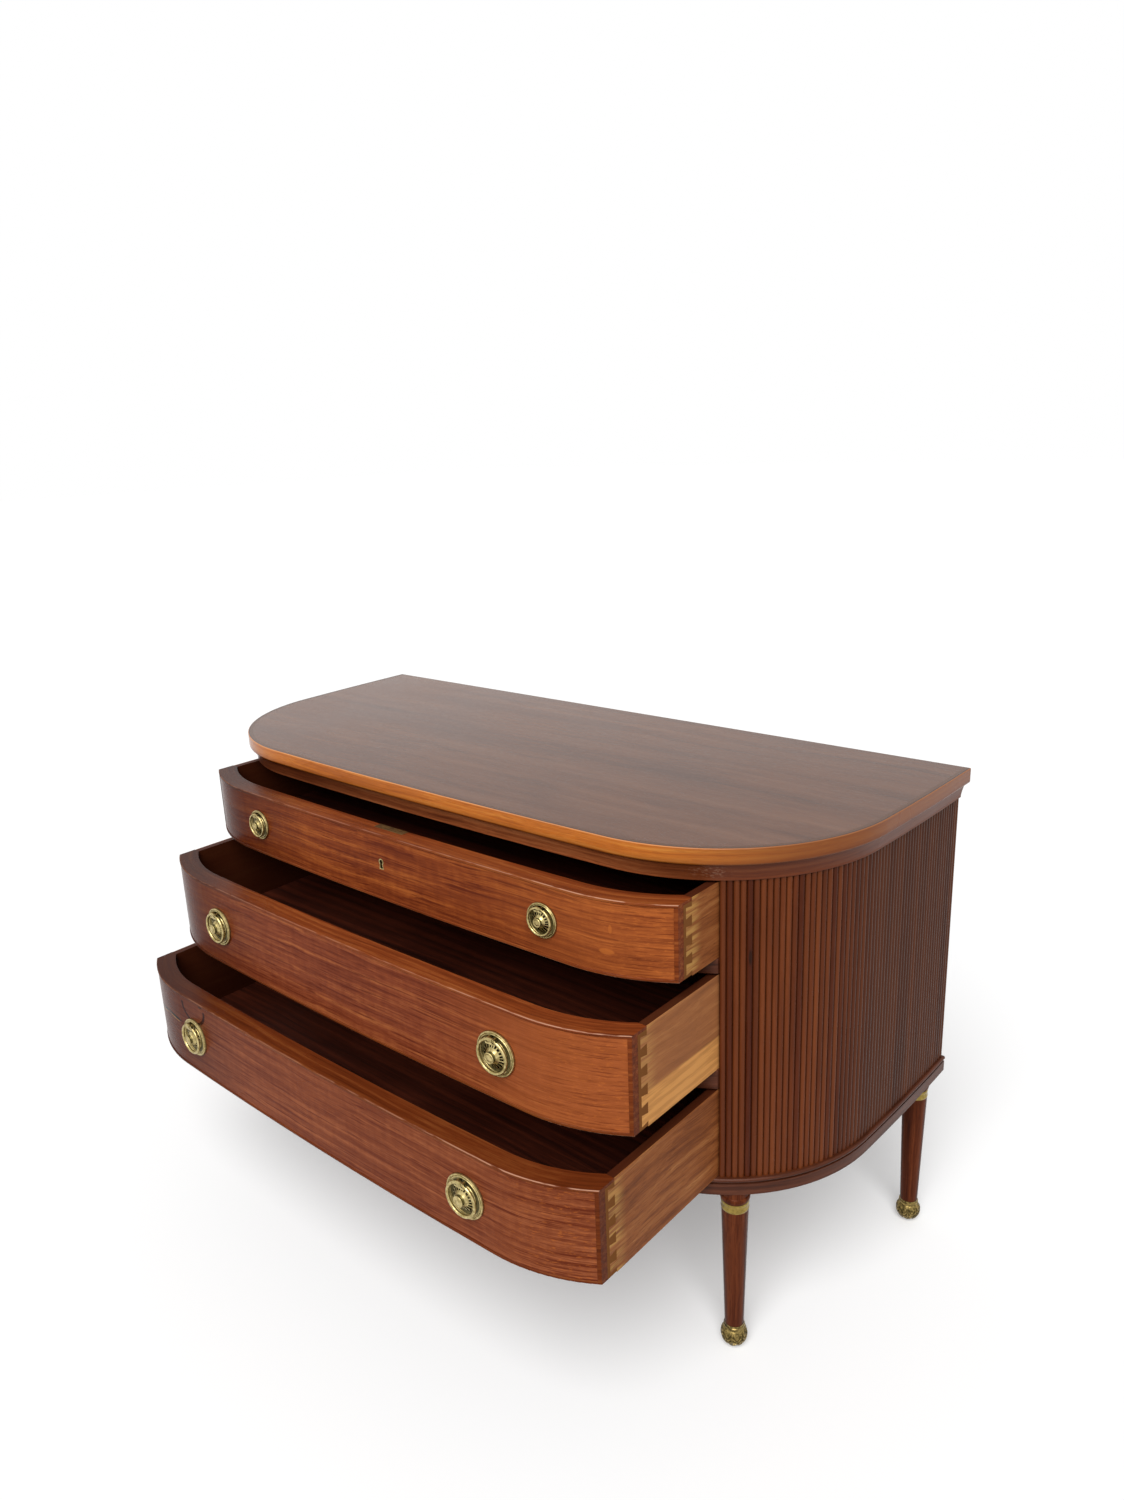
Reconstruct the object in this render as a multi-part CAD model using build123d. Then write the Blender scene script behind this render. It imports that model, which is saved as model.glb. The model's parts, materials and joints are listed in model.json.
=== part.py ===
from build123d import *
import math
import os

os.makedirs("parts", exist_ok=True)

# Overall size, seen with the drawers shut
top_width = 1200
top_depth = 510
total_height = 741

# Plan of the D-shaped front: five arcs that meet smoothly
corner_radius = 264
front_bow_angle = 2
side_bow_angle = 3

# How far inside the edge of the top each surface lies
cornice_top_inset = 6
cornice_low_inset = 11.5
case_inset = 13
base_bead_inset = 8.5
base_quirk_inset = 12
base_band_inset = 9.5

# Heights of the case; the legs take what the drawers leave of the total height
top_thickness = 22
cornice_height = 23
cornice_fillet = 3
base_height = 24
base_band_height = 16
base_quirk_height = 2.5
base_board_thickness = 18
base_frame_width = 51.5
base_mitre_angle = 55

# Solid edge strip of the top
lipping_width = 8
lipping_low_round = 3
lipping_top_round = 1.5

# Case sides
opening_margin = 130
reed_pitch = 8.2
reed_depth = 3
reed_backing = 2
core_thickness = 18
guide_thickness = 12
back_thickness = 12

# Dividers and runners
lower_divider_thickness = 27
upper_divider_thickness = 20
divider_depth = 125
tenon_length = 8
tenon_height = 10
tenon_margin = 2
runner_width = 35
runner_thickness = 20

# Drawer fronts
front_gap_below = 1.5
front_gap_above = 3.5
drawer_side_clearance = 1.5
bottom_front_height = 127
middle_front_height = 130
top_front_height = 99
front_thickness = 30
bead_thickness = 4
bead_depth = 9
bead_proud = 1
veneer_thickness = 1.5

# Drawer boxes
side_thickness = 12
side_drop = 0.5
drawer_back_thickness = 10
drawer_back_drop = 6
drawer_back_clearance = 8
panel_thickness = 7
panel_rise = 8
side_groove_depth = 5
front_groove_depth = 6
tail_lap = 5
tail_overrun = 2
tail_wide_share = 0.6
tail_narrow_share = 0.42
small_tail_count = 4
tail_count = 5

# How far each drawer stands open at rest
top_opening = 80
middle_opening = 172
bottom_opening = 238

# Ring pulls, drawn for the large size
pull_margin = 174
large_plate_radius = 30
small_plate_radius = 23.5
rim_height = 4.6
rim_width = 4.4
channel_depth_share = 0.4
dome_radius = 18
dome_foot_height = 3
petal_count = 18
petal_radius = 1.1
petal_length = 5
petal_ring_radius = 13.6
petal_height = 6.2
petal_slope = 24
stem_foot_radius = 10.4
stem_foot_height = 6.9
stem_neck_radius = 5.6
stem_neck_height = 11.6
boss_radius = 7.4
boss_height = 15
boss_rim = 1.6
boss_dish = 1
ring_radius = 22.4
ring_wire_radius = 2.2
hinge_stand_off = 8.8
lug_inner_gap = 3.9
lug_thickness = 1.9
lug_radius = 2.5
barrel_length = 7.2
barrel_radius = 2.9
pin_radius = 1.25
pin_clearance = 0.05
stud_radius = 2.5
stud_clearance = 0.1
stud_spare = 3
nut_width = 11
nut_thickness = 5
nut_seat_gap = 0.04

# Legs
front_leg_inset = 28
front_leg_angle = 39.7
back_leg_inset = 36
back_leg_depth = 41
leg_neck_radius = 18
leg_ring_radius = 20
leg_ring_drop = 8.5
leg_ring_height = 8.5
ferrule_drop = 14
ferrule_radius = 18.9
ferrule_thickness = 1.7
leg_top_radius = 18.2
leg_foot_radius = 13
leg_dowel_radius = 10
leg_dowel_length = 16
leg_pin_radius = 6
leg_pin_length = 14
foot_pad_radius = 6.5
foot_radius = 18
foot_belly_height = 17
foot_cup_radius = 14.2
foot_cup_low = 30
foot_height = 36

# Lock of the top drawer
lock_width = 60
lock_height = 56
lock_thickness = 13
lock_proud = 0.5
lock_wall = 2
bolt_width = 24
bolt_thickness = 6
bolt_height = 26
bolt_travel = 8
bolt_clearance = 0.4
mortise_clearance = 2.5
keyhole_depth = 41.5
keyhole_radius = 3.2
keyhole_drop = 9.5
keyhole_foot_half_width = 2.9
keyhole_rim = 1.6
keyhole_liner_depth = 4

# Levels worked out from the sizes above
top_underside = total_height - top_thickness
case_top = top_underside - cornice_height
top_high = case_top - front_gap_above
top_low = top_high - top_front_height
upper_divider_high = top_low - front_gap_below
upper_divider_low = upper_divider_high - upper_divider_thickness
middle_high = upper_divider_low - front_gap_above
middle_low = middle_high - middle_front_height
lower_divider_high = middle_low - front_gap_below
lower_divider_low = lower_divider_high - lower_divider_thickness
bottom_high = lower_divider_low - front_gap_above
bottom_low = bottom_high - bottom_front_height
base_top_height = bottom_low - front_gap_below
base_bottom_height = base_top_height - base_height
leg_ring_high = base_bottom_height - leg_ring_drop
leg_ring_low = leg_ring_high - leg_ring_height
ferrule_low = leg_ring_low - ferrule_drop
keyhole_height = top_high - keyhole_depth

# Plan insets worked out from the sizes above
half_width = top_width / 2
opening_half_width = half_width - opening_margin
pull_offset = opening_half_width - pull_margin
divider_rear = divider_depth - top_depth
reed_valley_inset = case_inset + reed_depth
core_outer_inset = reed_valley_inset + reed_backing
core_inner_inset = core_outer_inset + core_thickness
face_inset = case_inset + bead_proud
front_outer_inset = face_inset + veneer_thickness
front_inner_inset = case_inset + front_thickness
bead_inner_inset = case_inset + bead_depth
base_inner_inset = base_bead_inset + base_frame_width
drawer_half_width = opening_half_width - drawer_side_clearance
inner_half_width = drawer_half_width - side_thickness
drawer_rear = -(back_thickness + drawer_back_clearance)

# Radii of the front arc and the side arc that close the plan exactly
sine_front = math.sin(math.radians(front_bow_angle))
cosine_front = math.cos(math.radians(front_bow_angle))
sine_side = math.sin(math.radians(side_bow_angle))
cosine_side = math.cos(math.radians(side_bow_angle))
width_left = half_width - corner_radius * (cosine_side - sine_front)
depth_left = top_depth - corner_radius * (cosine_front - sine_side)
plan_scale = sine_front * sine_side - (1 - cosine_front) * (1 - cosine_side)
front_radius = (width_left * sine_side - depth_left * (1 - cosine_side)) / plan_scale
side_radius = (depth_left * sine_front - width_left * (1 - cosine_front)) / plan_scale
corner_centre_x = (front_radius - corner_radius) * sine_front
corner_centre_y = front_radius - top_depth - (front_radius - corner_radius) * cosine_front
turn_knots = [side_bow_angle - 90, -front_bow_angle, front_bow_angle, 90 - side_bow_angle]


def arc_of(turn):
    """Centre and radius of the plan arc whose outward normal is turned this far from straight ahead."""
    side = math.copysign(1, turn)
    if abs(turn) <= front_bow_angle:
        return 0, front_radius - top_depth, front_radius
    if abs(turn) <= 90 - side_bow_angle:
        return side * corner_centre_x, corner_centre_y, corner_radius
    return side * (half_width - side_radius), 0, side_radius


def plan_point(inset, turn):
    """Point of the plan, moved inwards by the inset, where the outward normal has this turn."""
    centre_x, centre_y, radius = arc_of(turn)
    reach = radius - inset
    swing = math.radians(turn)
    return centre_x + reach * math.sin(swing), centre_y - reach * math.cos(swing)


def corner_turn(inset, x):
    """Turn of the corner arc at a distance x from the middle."""
    return math.degrees(math.asin((x - corner_centre_x) / (corner_radius - inset)))


def corner_y(inset, x):
    """Depth of the corner arc at a distance x from the middle."""
    return plan_point(inset, corner_turn(inset, x))[1]


def shoulder():
    """Depth of the flat shoulder behind a drawer front, where its inner arc meets a side's inner face."""
    return corner_y(front_inner_inset, inner_half_width)


def block(x_low, x_high, y_low, y_high, z_low, z_high):
    """Box between six planes."""
    size = (x_high - x_low, y_high - y_low, z_high - z_low)
    middle = ((x_high + x_low) / 2, (y_high + y_low) / 2, (z_high + z_low) / 2)
    return Pos(*middle) * Box(*size)


def plate(inset, z_low, z_high):
    """Slab with the plan of the top, moved inwards by the inset."""
    turns = [-90] + turn_knots + [90]
    edges = []
    for start, end in zip(turns, turns[1:]):
        spots = [plan_point(inset, turn) for turn in (start, (start + end) / 2, end)]
        edges.append(Edge.make_three_point_arc(*[Vector(x, y, z_low) for x, y in spots]))
    right = plan_point(inset, 90)
    left = plan_point(inset, -90)
    edges.append(Edge.make_line(Vector(*right, z_low), Vector(*left, z_low)))
    return Solid.extrude(Face(Wire(edges)), Vector(0, 0, z_high - z_low))


def shell(outer_inset, inner_inset, z_low, z_high):
    """Wall that follows the plan between two insets."""
    return plate(outer_inset, z_low, z_high) - plate(inner_inset, z_low, z_high)


def section_face(section, turn):
    """Closed moulding section stood up across the plan at one turn."""
    edges = []
    for points in section:
        spots = [Vector(*plan_point(inset, turn), height) for inset, height in points]
        if len(spots) == 2:
            edges.append(Edge.make_line(*spots))
        else:
            edges.append(Edge.make_three_point_arc(*spots))
    return Face(Wire(edges))


def moulding(section, start, end):
    """Moulding run round the plan from one turn to another."""
    turns = [start] + [turn for turn in turn_knots if start < turn < end] + [end]
    pieces = []
    for low, high in zip(turns, turns[1:]):
        centre_x, centre_y, radius = arc_of((low + high) / 2)
        face = section_face(section, (low + high) / 2)
        middle = Axis((centre_x, centre_y, 0), (0, 0, 1))
        turned_back = face.rotate(middle, (low - high) / 2)
        pieces.append(Solid.revolve(turned_back, high - low, middle))
    solid = pieces[0]
    for piece in pieces[1:]:
        solid = solid.fuse(piece)
    return solid.clean()


def mirrored(solid):
    """The same piece on the other side of the middle."""
    return mirror(solid, about=Plane.YZ)


def top_lipping():
    """Solid edge strip round the top, rounded along its lower edge."""
    low = top_underside
    high = total_height
    bend = lipping_low_round * (1 - math.sqrt(0.5))
    lift = lipping_top_round * (1 - math.sqrt(0.5))
    section = [
        [(lipping_width, low), (lipping_low_round, low)],
        [(lipping_low_round, low), (bend, low + bend), (0, low + lipping_low_round)],
        [(0, low + lipping_low_round), (0, high - lipping_top_round)],
        [(0, high - lipping_top_round), (lift, high - lift), (lipping_top_round, high)],
        [(lipping_top_round, high), (lipping_width, high)],
        [(lipping_width, high), (lipping_width, low)],
    ]
    return moulding(section, -90, 90)


def under_top():
    """Board below the top with a hollow moulding worked along its edge."""
    low = case_top
    step = low + cornice_fillet
    high = top_underside
    inner = core_inner_inset
    hollow_inset = cornice_low_inset - (cornice_low_inset - cornice_top_inset) * 0.32
    hollow_height = step + (high - step) * 0.42
    section = [
        [(inner, low), (cornice_low_inset, low)],
        [(cornice_low_inset, low), (cornice_low_inset, step)],
        [(cornice_low_inset, step), (hollow_inset, hollow_height), (cornice_top_inset, high)],
        [(cornice_top_inset, high), (inner, high)],
        [(inner, high), (inner, low)],
    ]
    board = moulding(section, -90, 90).fuse(plate(inner, low, high)).clean()
    mortise_half = bolt_width / 2 + mortise_clearance
    mortise_middle = lock_middle_y()
    mortise_reach = bolt_thickness / 2 + mortise_clearance
    mortise_top = top_high + bolt_travel + mortise_clearance
    mortise = block(
        -mortise_half,
        mortise_half,
        mortise_middle - mortise_reach,
        mortise_middle + mortise_reach,
        low,
        mortise_top,
    )
    return board - mortise


def side_core():
    """Curved wall of the right side, from the drawer opening to the back."""
    wall = shell(core_outer_inset, core_inner_inset, base_top_height, case_top)
    wall = wall & block(opening_half_width, half_width, -top_depth, 0, 0, total_height)
    for low, high in divider_levels():
        wall = wall - divider_tenon(low, high)
    return wall


def reed_turns():
    """Turns of the valleys between the reeds, at an even pitch round the side."""
    start = corner_turn(reed_valley_inset, opening_half_width)
    corner_reach = corner_radius - reed_valley_inset
    side_reach = side_radius - reed_valley_inset
    corner_length = corner_reach * math.radians(90 - side_bow_angle - start)
    total = corner_length + side_reach * math.radians(side_bow_angle)
    count = round(total / reed_pitch)
    turns = []
    for index in range(2 * count + 1):
        run = total * index / (2 * count)
        if run <= corner_length:
            turns.append(start + math.degrees(run / corner_reach))
        else:
            turns.append(90 - side_bow_angle + math.degrees((run - corner_length) / side_reach))
    return turns


def tambour():
    """Reeded skin of the right side: half-round slats side by side on a thin backing."""
    turns = reed_turns()
    edges = []
    for index in range(0, len(turns) - 2, 2):
        spots = [
            plan_point(reed_valley_inset, turns[index]),
            plan_point(case_inset, turns[index + 1]),
            plan_point(reed_valley_inset, turns[index + 2]),
        ]
        edges.append(Edge.make_three_point_arc(*[Vector(x, y, base_top_height) for x, y in spots]))
    inner_start = corner_turn(core_outer_inset, opening_half_width)
    knot = 90 - side_bow_angle
    back = plan_point(reed_valley_inset, 90)
    inner_back = plan_point(core_outer_inset, 90)
    edges.append(Edge.make_line(Vector(*back, base_top_height), Vector(*inner_back, base_top_height)))
    for start, end in ((90, knot), (knot, inner_start)):
        spots = [plan_point(core_outer_inset, turn) for turn in (start, (start + end) / 2, end)]
        edges.append(Edge.make_three_point_arc(*[Vector(x, y, base_top_height) for x, y in spots]))
    first = plan_point(reed_valley_inset, turns[0])
    last = plan_point(core_outer_inset, inner_start)
    edges.append(Edge.make_line(Vector(*last, base_top_height), Vector(*first, base_top_height)))
    return Solid.extrude(Face(Wire(edges)), Vector(0, 0, case_top - base_top_height))


def guide_board():
    """Upright board that guides the drawers on the right."""
    outer = opening_half_width + guide_thickness
    board = block(opening_half_width, outer, -top_depth, -back_thickness, base_top_height, case_top)
    return board & plate(core_inner_inset, base_top_height, case_top)


def back_panel():
    """Back of the case, held between the curved sides."""
    board = block(-half_width, half_width, -back_thickness, 0, base_top_height, case_top)
    return board & plate(core_inner_inset, base_top_height, case_top)


def bottom_board():
    """Bottom of the case, set inside the base moulding."""
    low = base_top_height - base_board_thickness
    return plate(base_inner_inset, low, base_top_height)


def base_moulding(start, end):
    """Length of the base moulding: a bead, a quirk and a broad band."""
    low = base_bottom_height
    band = low + base_band_height
    quirk = band + base_quirk_height
    high = base_top_height
    inner = base_inner_inset
    bead_middle = (quirk + high) / 2
    bead_edge = base_bead_inset + (base_quirk_inset - base_bead_inset) * 0.5
    section = [
        [(inner, low), (base_band_inset, low)],
        [(base_band_inset, low), (base_band_inset, band)],
        [(base_band_inset, band), (base_quirk_inset, band)],
        [(base_quirk_inset, band), (base_quirk_inset, quirk)],
        [(base_quirk_inset, quirk), (bead_edge, quirk)],
        [(bead_edge, quirk), (base_bead_inset, bead_middle), (bead_edge, high)],
        [(bead_edge, high), (inner, high)],
        [(inner, high), (inner, low)],
    ]
    return moulding(section, start, end)


def base_length(start, end, spots):
    """Base moulding bored for the leg dowels and rebated for the bottom board."""
    solid = base_moulding(start, end)
    for x, y in spots:
        solid = solid - leg_dowel(x, y)
    return solid


def divider_levels():
    """Lower and upper plane of each divider."""
    return (lower_divider_low, lower_divider_high), (upper_divider_low, upper_divider_high)


def divider_tenon(low, high):
    """Stub tenon that holds the right end of a divider in the curved side."""
    end = opening_half_width + tenon_length
    front = corner_y(core_outer_inset, end) + tenon_margin
    rear = corner_y(core_inner_inset, opening_half_width) - tenon_margin
    middle = (low + high) / 2
    reach = tenon_height / 2
    return block(opening_half_width, end, front, rear, middle - reach, middle + reach)


def divider(low, high):
    """Rail between two drawers, bowed in front like the case."""
    rail = plate(case_inset, low, high)
    rail = rail & block(-opening_half_width, opening_half_width, -top_depth, divider_rear, low, high)
    tenon = divider_tenon(low, high)
    return rail.fuse(tenon).fuse(mirrored(tenon)).clean()


def runners():
    """Four alike rails that carry the sides of the two upper drawers."""
    solids = []
    for level in (lower_divider_high, upper_divider_high):
        outer = opening_half_width
        inner = outer - runner_width
        rear = -back_thickness
        rail = block(inner, outer, divider_rear, rear, level - runner_thickness, level)
        solids += [rail, mirrored(rail)]
    return solids


def front_leg_spot():
    """Plan position of the right front leg."""
    return plan_point(front_leg_inset, front_leg_angle)


def back_leg_spot():
    """Plan position of the right back leg."""
    return half_width - back_leg_inset, -back_leg_depth


def lathe(points, x, y):
    """Turned solid from a list of radius and height pairs joined by straight lines."""
    corners = [Vector(radius, 0, height) for radius, height in points]
    face = Face(Wire.make_polygon(corners, close=True))
    return Pos(x, y, 0) * Solid.revolve(face, 360, Axis.Z)


def leg_dowel(x, y):
    """Dowel on top of a leg, let into the base moulding."""
    top = base_bottom_height + leg_dowel_length
    return Pos(x, y, (base_bottom_height + top) / 2) * Cylinder(leg_dowel_radius, top - base_bottom_height)


def leg(x, y):
    """Turned and tapered leg with a ring near the top and a pin in the foot."""
    seat = ferrule_radius - ferrule_thickness
    ring_bulge = (leg_ring_radius - leg_neck_radius) * 0.3
    third = (leg_ring_high - leg_ring_low) / 4
    ferrule_high = leg_ring_low - tenon_margin / 2
    points = [
        (0, foot_height - leg_pin_length),
        (leg_pin_radius, foot_height - leg_pin_length),
        (leg_pin_radius, foot_height),
        (leg_foot_radius, foot_height),
        (leg_top_radius, ferrule_low),
        (seat, ferrule_low),
        (seat, ferrule_high),
        (leg_neck_radius, ferrule_high),
        (leg_neck_radius, leg_ring_low),
        (leg_ring_radius - ring_bulge, leg_ring_low + third / 2),
        (leg_ring_radius, leg_ring_low + third * 1.5),
        (leg_ring_radius, leg_ring_high - third * 1.5),
        (leg_ring_radius - ring_bulge, leg_ring_high - third / 2),
        (leg_neck_radius, leg_ring_high),
        (leg_neck_radius, base_bottom_height),
        (leg_dowel_radius, base_bottom_height),
        (leg_dowel_radius, base_bottom_height + leg_dowel_length),
        (0, base_bottom_height + leg_dowel_length),
    ]
    return lathe(points, x, y)


def ferrule(x, y):
    """Brass collar let into the leg below the ring."""
    seat = ferrule_radius - ferrule_thickness
    high = leg_ring_low - tenon_margin / 2
    step = (high - ferrule_low) / 6
    waist = ferrule_radius - ferrule_thickness * 0.35
    points = [
        (seat, ferrule_low),
        (waist, ferrule_low),
        (ferrule_radius, ferrule_low + step),
        (waist, ferrule_low + step * 2),
        (waist, high - step * 2),
        (ferrule_radius, high - step),
        (waist, high),
        (seat, high),
    ]
    return lathe(points, x, y)


def ball_foot(x, y):
    """Brass ball foot with a cup for the end of the leg and a small flat to stand on."""
    low_arc = Edge.make_spline(
        [
            Vector(foot_pad_radius, 0, 0),
            Vector(foot_radius, 0, foot_belly_height),
            Vector(foot_cup_radius, 0, foot_cup_low),
        ],
        tangents=[Vector(1, 0, 0.25), Vector(-0.75, 0, 1)],
    )
    bore_floor = foot_height - leg_pin_length
    corners = [
        Vector(foot_cup_radius, 0, foot_cup_low),
        Vector(foot_cup_radius, 0, foot_height),
        Vector(leg_pin_radius, 0, foot_height),
        Vector(leg_pin_radius, 0, bore_floor),
        Vector(0, 0, bore_floor),
        Vector(0, 0, 0),
        Vector(foot_pad_radius, 0, 0),
    ]
    edges = [low_arc]
    for start, end in zip(corners, corners[1:]):
        edges.append(Edge.make_line(start, end))
    return Pos(x, y, 0) * Solid.revolve(Face(Wire(edges)), 360, Axis.Z)


def face_bead(low, high, inner_inset):
    """Bead along the top or bottom edge of a drawer front, with a rounded nose."""
    nose = (high - low) * 0.25
    face = case_inset
    bend = nose * (1 - math.sqrt(0.5))
    section = [
        [(inner_inset, low), (face + nose, low)],
        [(face + nose, low), (face + bend, low + bend), (face, low + nose)],
        [(face, low + nose), (face, high - nose)],
        [(face, high - nose), (face + bend, high - bend), (face + nose, high)],
        [(face + nose, high), (inner_inset, high)],
        [(inner_inset, high), (inner_inset, low)],
    ]
    strip = moulding(section, side_bow_angle - 90, 90 - side_bow_angle)
    return strip & block(-drawer_half_width, drawer_half_width, -top_depth, 0, low, high)


def end_bead(low, high):
    """Upright bead at the right end of a drawer front."""
    inner = drawer_half_width - bead_thickness
    strip = shell(case_inset, bead_inner_inset, low + bead_thickness, high - bead_thickness)
    return strip & block(inner, drawer_half_width, -top_depth, 0, low, high)


def behind_shoulder_cut(solid, low, high):
    """Front piece cut off square at both ends, where the drawer sides butt against it."""
    end = block(inner_half_width, drawer_half_width, shoulder(), 0, low, high)
    return solid - end - mirrored(end)


def cockbead(low, high):
    """Four beads round a drawer front; the top one covers its whole thickness."""
    upper = behind_shoulder_cut(face_bead(high - bead_thickness, high, front_inner_inset), low, high)
    lower = face_bead(low, low + bead_thickness, bead_inner_inset)
    right = end_bead(low, high)
    return [upper, lower, right, mirrored(right)]


def face_veneer(low, high):
    """Figured veneer between the beads."""
    inner = drawer_half_width - bead_thickness
    sheet = shell(face_inset, front_outer_inset, low + bead_thickness, high - bead_thickness)
    return sheet & block(-inner, inner, -top_depth, 0, low, high)


def tail_row(wide_y, narrow_y, low, high, count):
    """Right-hand row of dovetails, wide at one plane and narrow at the other."""
    pitch = (high - low) / count
    slope = (tail_wide_share - tail_narrow_share) * pitch / (wide_y - narrow_y)
    direction = math.copysign(1, narrow_y - wide_y)
    far_y = narrow_y + direction * tail_overrun
    prisms = []
    for index in range(count):
        middle = low + pitch * (index + 0.5)
        wide = tail_wide_share * pitch / 2
        narrow = wide + slope * (far_y - wide_y) / 2
        corners = [
            Vector(inner_half_width, wide_y, middle - wide),
            Vector(inner_half_width, wide_y, middle + wide),
            Vector(inner_half_width, far_y, middle + narrow),
            Vector(inner_half_width, far_y, middle - narrow),
        ]
        face = Face(Wire.make_polygon(corners, close=True))
        prisms.append(Solid.extrude(face, Vector(side_thickness, 0, 0)))
    return prisms


def bottom_panel(run):
    """Thin bottom in grooves of the sides and the front, slid in under the back."""
    low = run + panel_rise
    high = low + panel_thickness
    reach = inner_half_width + side_groove_depth
    sheet = plate(front_inner_inset - front_groove_depth, low, high)
    return sheet & block(-reach, reach, -top_depth, drawer_rear, low, high)


def front_core(low, high, run, count):
    """Curved core of a drawer front with sockets for the dovetails and a groove."""
    core = shell(front_outer_inset, front_inner_inset, low, high - bead_thickness)
    core = core & block(-drawer_half_width, drawer_half_width, -top_depth, 0, low, high)
    rebate = plate(case_inset, low, low + bead_thickness) - plate(bead_inner_inset, low, low + bead_thickness)
    core = core - rebate
    inner = drawer_half_width - bead_thickness
    end_rebate = plate(case_inset, low, high) - plate(bead_inner_inset, low, high)
    for side in (1, -1):
        edges = sorted((side * inner, side * drawer_half_width))
        core = core - (end_rebate & block(edges[0], edges[1], -top_depth, 0, low, high))
    core = behind_shoulder_cut(core, low, high)
    for tail in front_tails(run, high, count):
        core = core - tail - mirrored(tail)
    return core - bottom_panel(run)


def front_tails(run, high, count):
    """Dovetails at the front end of the right drawer side."""
    wide_y = corner_y(bead_inner_inset, drawer_half_width) + tail_lap
    return tail_row(wide_y, shoulder(), run, high - bead_thickness, count)


def drawer_back(run, high, count):
    """Back of a drawer, dovetailed between the sides and standing on the bottom panel."""
    low = run + panel_rise + panel_thickness
    top = high - side_drop - drawer_back_drop
    front = drawer_rear - drawer_back_thickness
    board = block(-drawer_half_width, drawer_half_width, front, drawer_rear, low, top)
    for tail in tail_row(drawer_rear, front, run, high - side_drop, count):
        board = board - tail - mirrored(tail)
    return board


def drawer_side(low, high, run, count):
    """Right side of a drawer with its dovetails and the groove for the bottom."""
    start = corner_y(bead_inner_inset, drawer_half_width) + tail_lap
    board = block(inner_half_width, drawer_half_width, start, drawer_rear, run, high - side_drop)
    joint_top = high - bead_thickness
    board = board - block(inner_half_width, drawer_half_width, start, shoulder(), joint_top, high)
    board = board - block(inner_half_width, drawer_half_width, start, shoulder(), run, low)
    board = board - front_core(low, high, run, count)
    board = board - drawer_back(run, high, count)
    board = board - bottom_panel(run)
    return max(board.solids(), key=lambda solid: solid.volume)


def pull_frame(side, height):
    """Place of a pull: its middle on the veneer, local Z straight out of the front."""
    turn = side * math.degrees(math.asin(pull_offset / (front_radius - face_inset)))
    x, y = plan_point(face_inset, turn)
    return Pos(x, y, height) * Rot(0, 0, turn) * Rot(90, 0, 0)


def pull_plate(scale):
    """Round backplate: reeded rim, channel, ring of pierced petals, trumpet stem, boss and hinge lugs."""
    outer = large_plate_radius
    rim_inner = outer - rim_width
    channel = rim_height * channel_depth_share
    middle = (outer + rim_inner) / 2
    points = [
        (0, 0),
        (outer, 0),
        (outer, rim_height * 0.45),
        (outer - rim_width * 0.18, rim_height * 0.8),
        (middle + rim_width * 0.12, rim_height * 0.9),
        (middle, rim_height * 0.72),
        (middle - rim_width * 0.12, rim_height),
        (rim_inner + rim_width * 0.1, rim_height * 0.95),
        (rim_inner, rim_height * 0.6),
        (rim_inner - rim_width * 0.4, channel),
        (dome_radius, channel),
        (dome_radius, dome_foot_height),
        (stem_foot_radius, stem_foot_height),
        (stem_foot_radius * 0.7, (stem_foot_height + stem_neck_height) / 2),
        (stem_neck_radius, stem_neck_height),
        (boss_radius, boss_height - boss_rim),
        (boss_radius, boss_height - boss_rim / 2),
        (boss_radius - boss_rim / 2, boss_height),
        (boss_radius - boss_rim, boss_height - boss_dish),
        (0, boss_height - boss_dish / 2),
    ]
    solid = lathe(points, 0, 0)
    for index in range(petal_count):
        angle = 360 * index / petal_count
        place = Rot(0, 0, angle) * Pos(petal_ring_radius, 0, petal_height)
        solid = solid - place * Rot(0, 90 + petal_slope, 0) * Cylinder(petal_radius, petal_length)
    reach = lug_inner_gap + lug_thickness
    for side in (1, -1):
        edges = sorted((side * lug_inner_gap, side * reach))
        foot = block(
            edges[0],
            edges[1],
            ring_radius - lug_radius,
            ring_radius + lug_radius,
            0,
            hinge_stand_off,
        )
        eye = Pos((edges[0] + edges[1]) / 2, ring_radius, hinge_stand_off)
        eye = eye * Rot(0, 90, 0) * Cylinder(lug_radius, lug_thickness)
        solid = solid + foot + eye
    pin = Pos(0, ring_radius, hinge_stand_off) * Rot(0, 90, 0) * Cylinder(pin_radius, 2 * reach)
    solid = solid + pin
    return scaled(solid, scale)


def pull_stud():
    """Threaded stud at the back of a plate, reaching through the drawer front."""
    length = front_thickness + nut_thickness + stud_spare - bead_proud
    return Pos(0, 0, -length / 2) * Cylinder(stud_radius, length)


def pull_ring(scale):
    """Ring that hangs round the dome, with a bored barrel at the top."""
    solid = Pos(0, 0, hinge_stand_off) * Torus(ring_radius, ring_wire_radius)
    barrel = Pos(0, ring_radius, hinge_stand_off) * Rot(0, 90, 0)
    bore_radius = pin_radius + pin_clearance
    notch_reach = lug_inner_gap + lug_thickness + lug_inner_gap - barrel_length / 2
    notch_radius = lug_radius + lug_inner_gap - barrel_length / 2
    solid = solid - barrel * (Cylinder(notch_radius, 2 * notch_reach))
    solid = solid + link_bridge()
    solid = solid + barrel * Cylinder(barrel_radius, barrel_length)
    solid = solid - barrel * Cylinder(bore_radius, 4 * barrel_length)
    return scaled(max(solid.solids(), key=lambda piece: piece.volume), scale)


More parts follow.
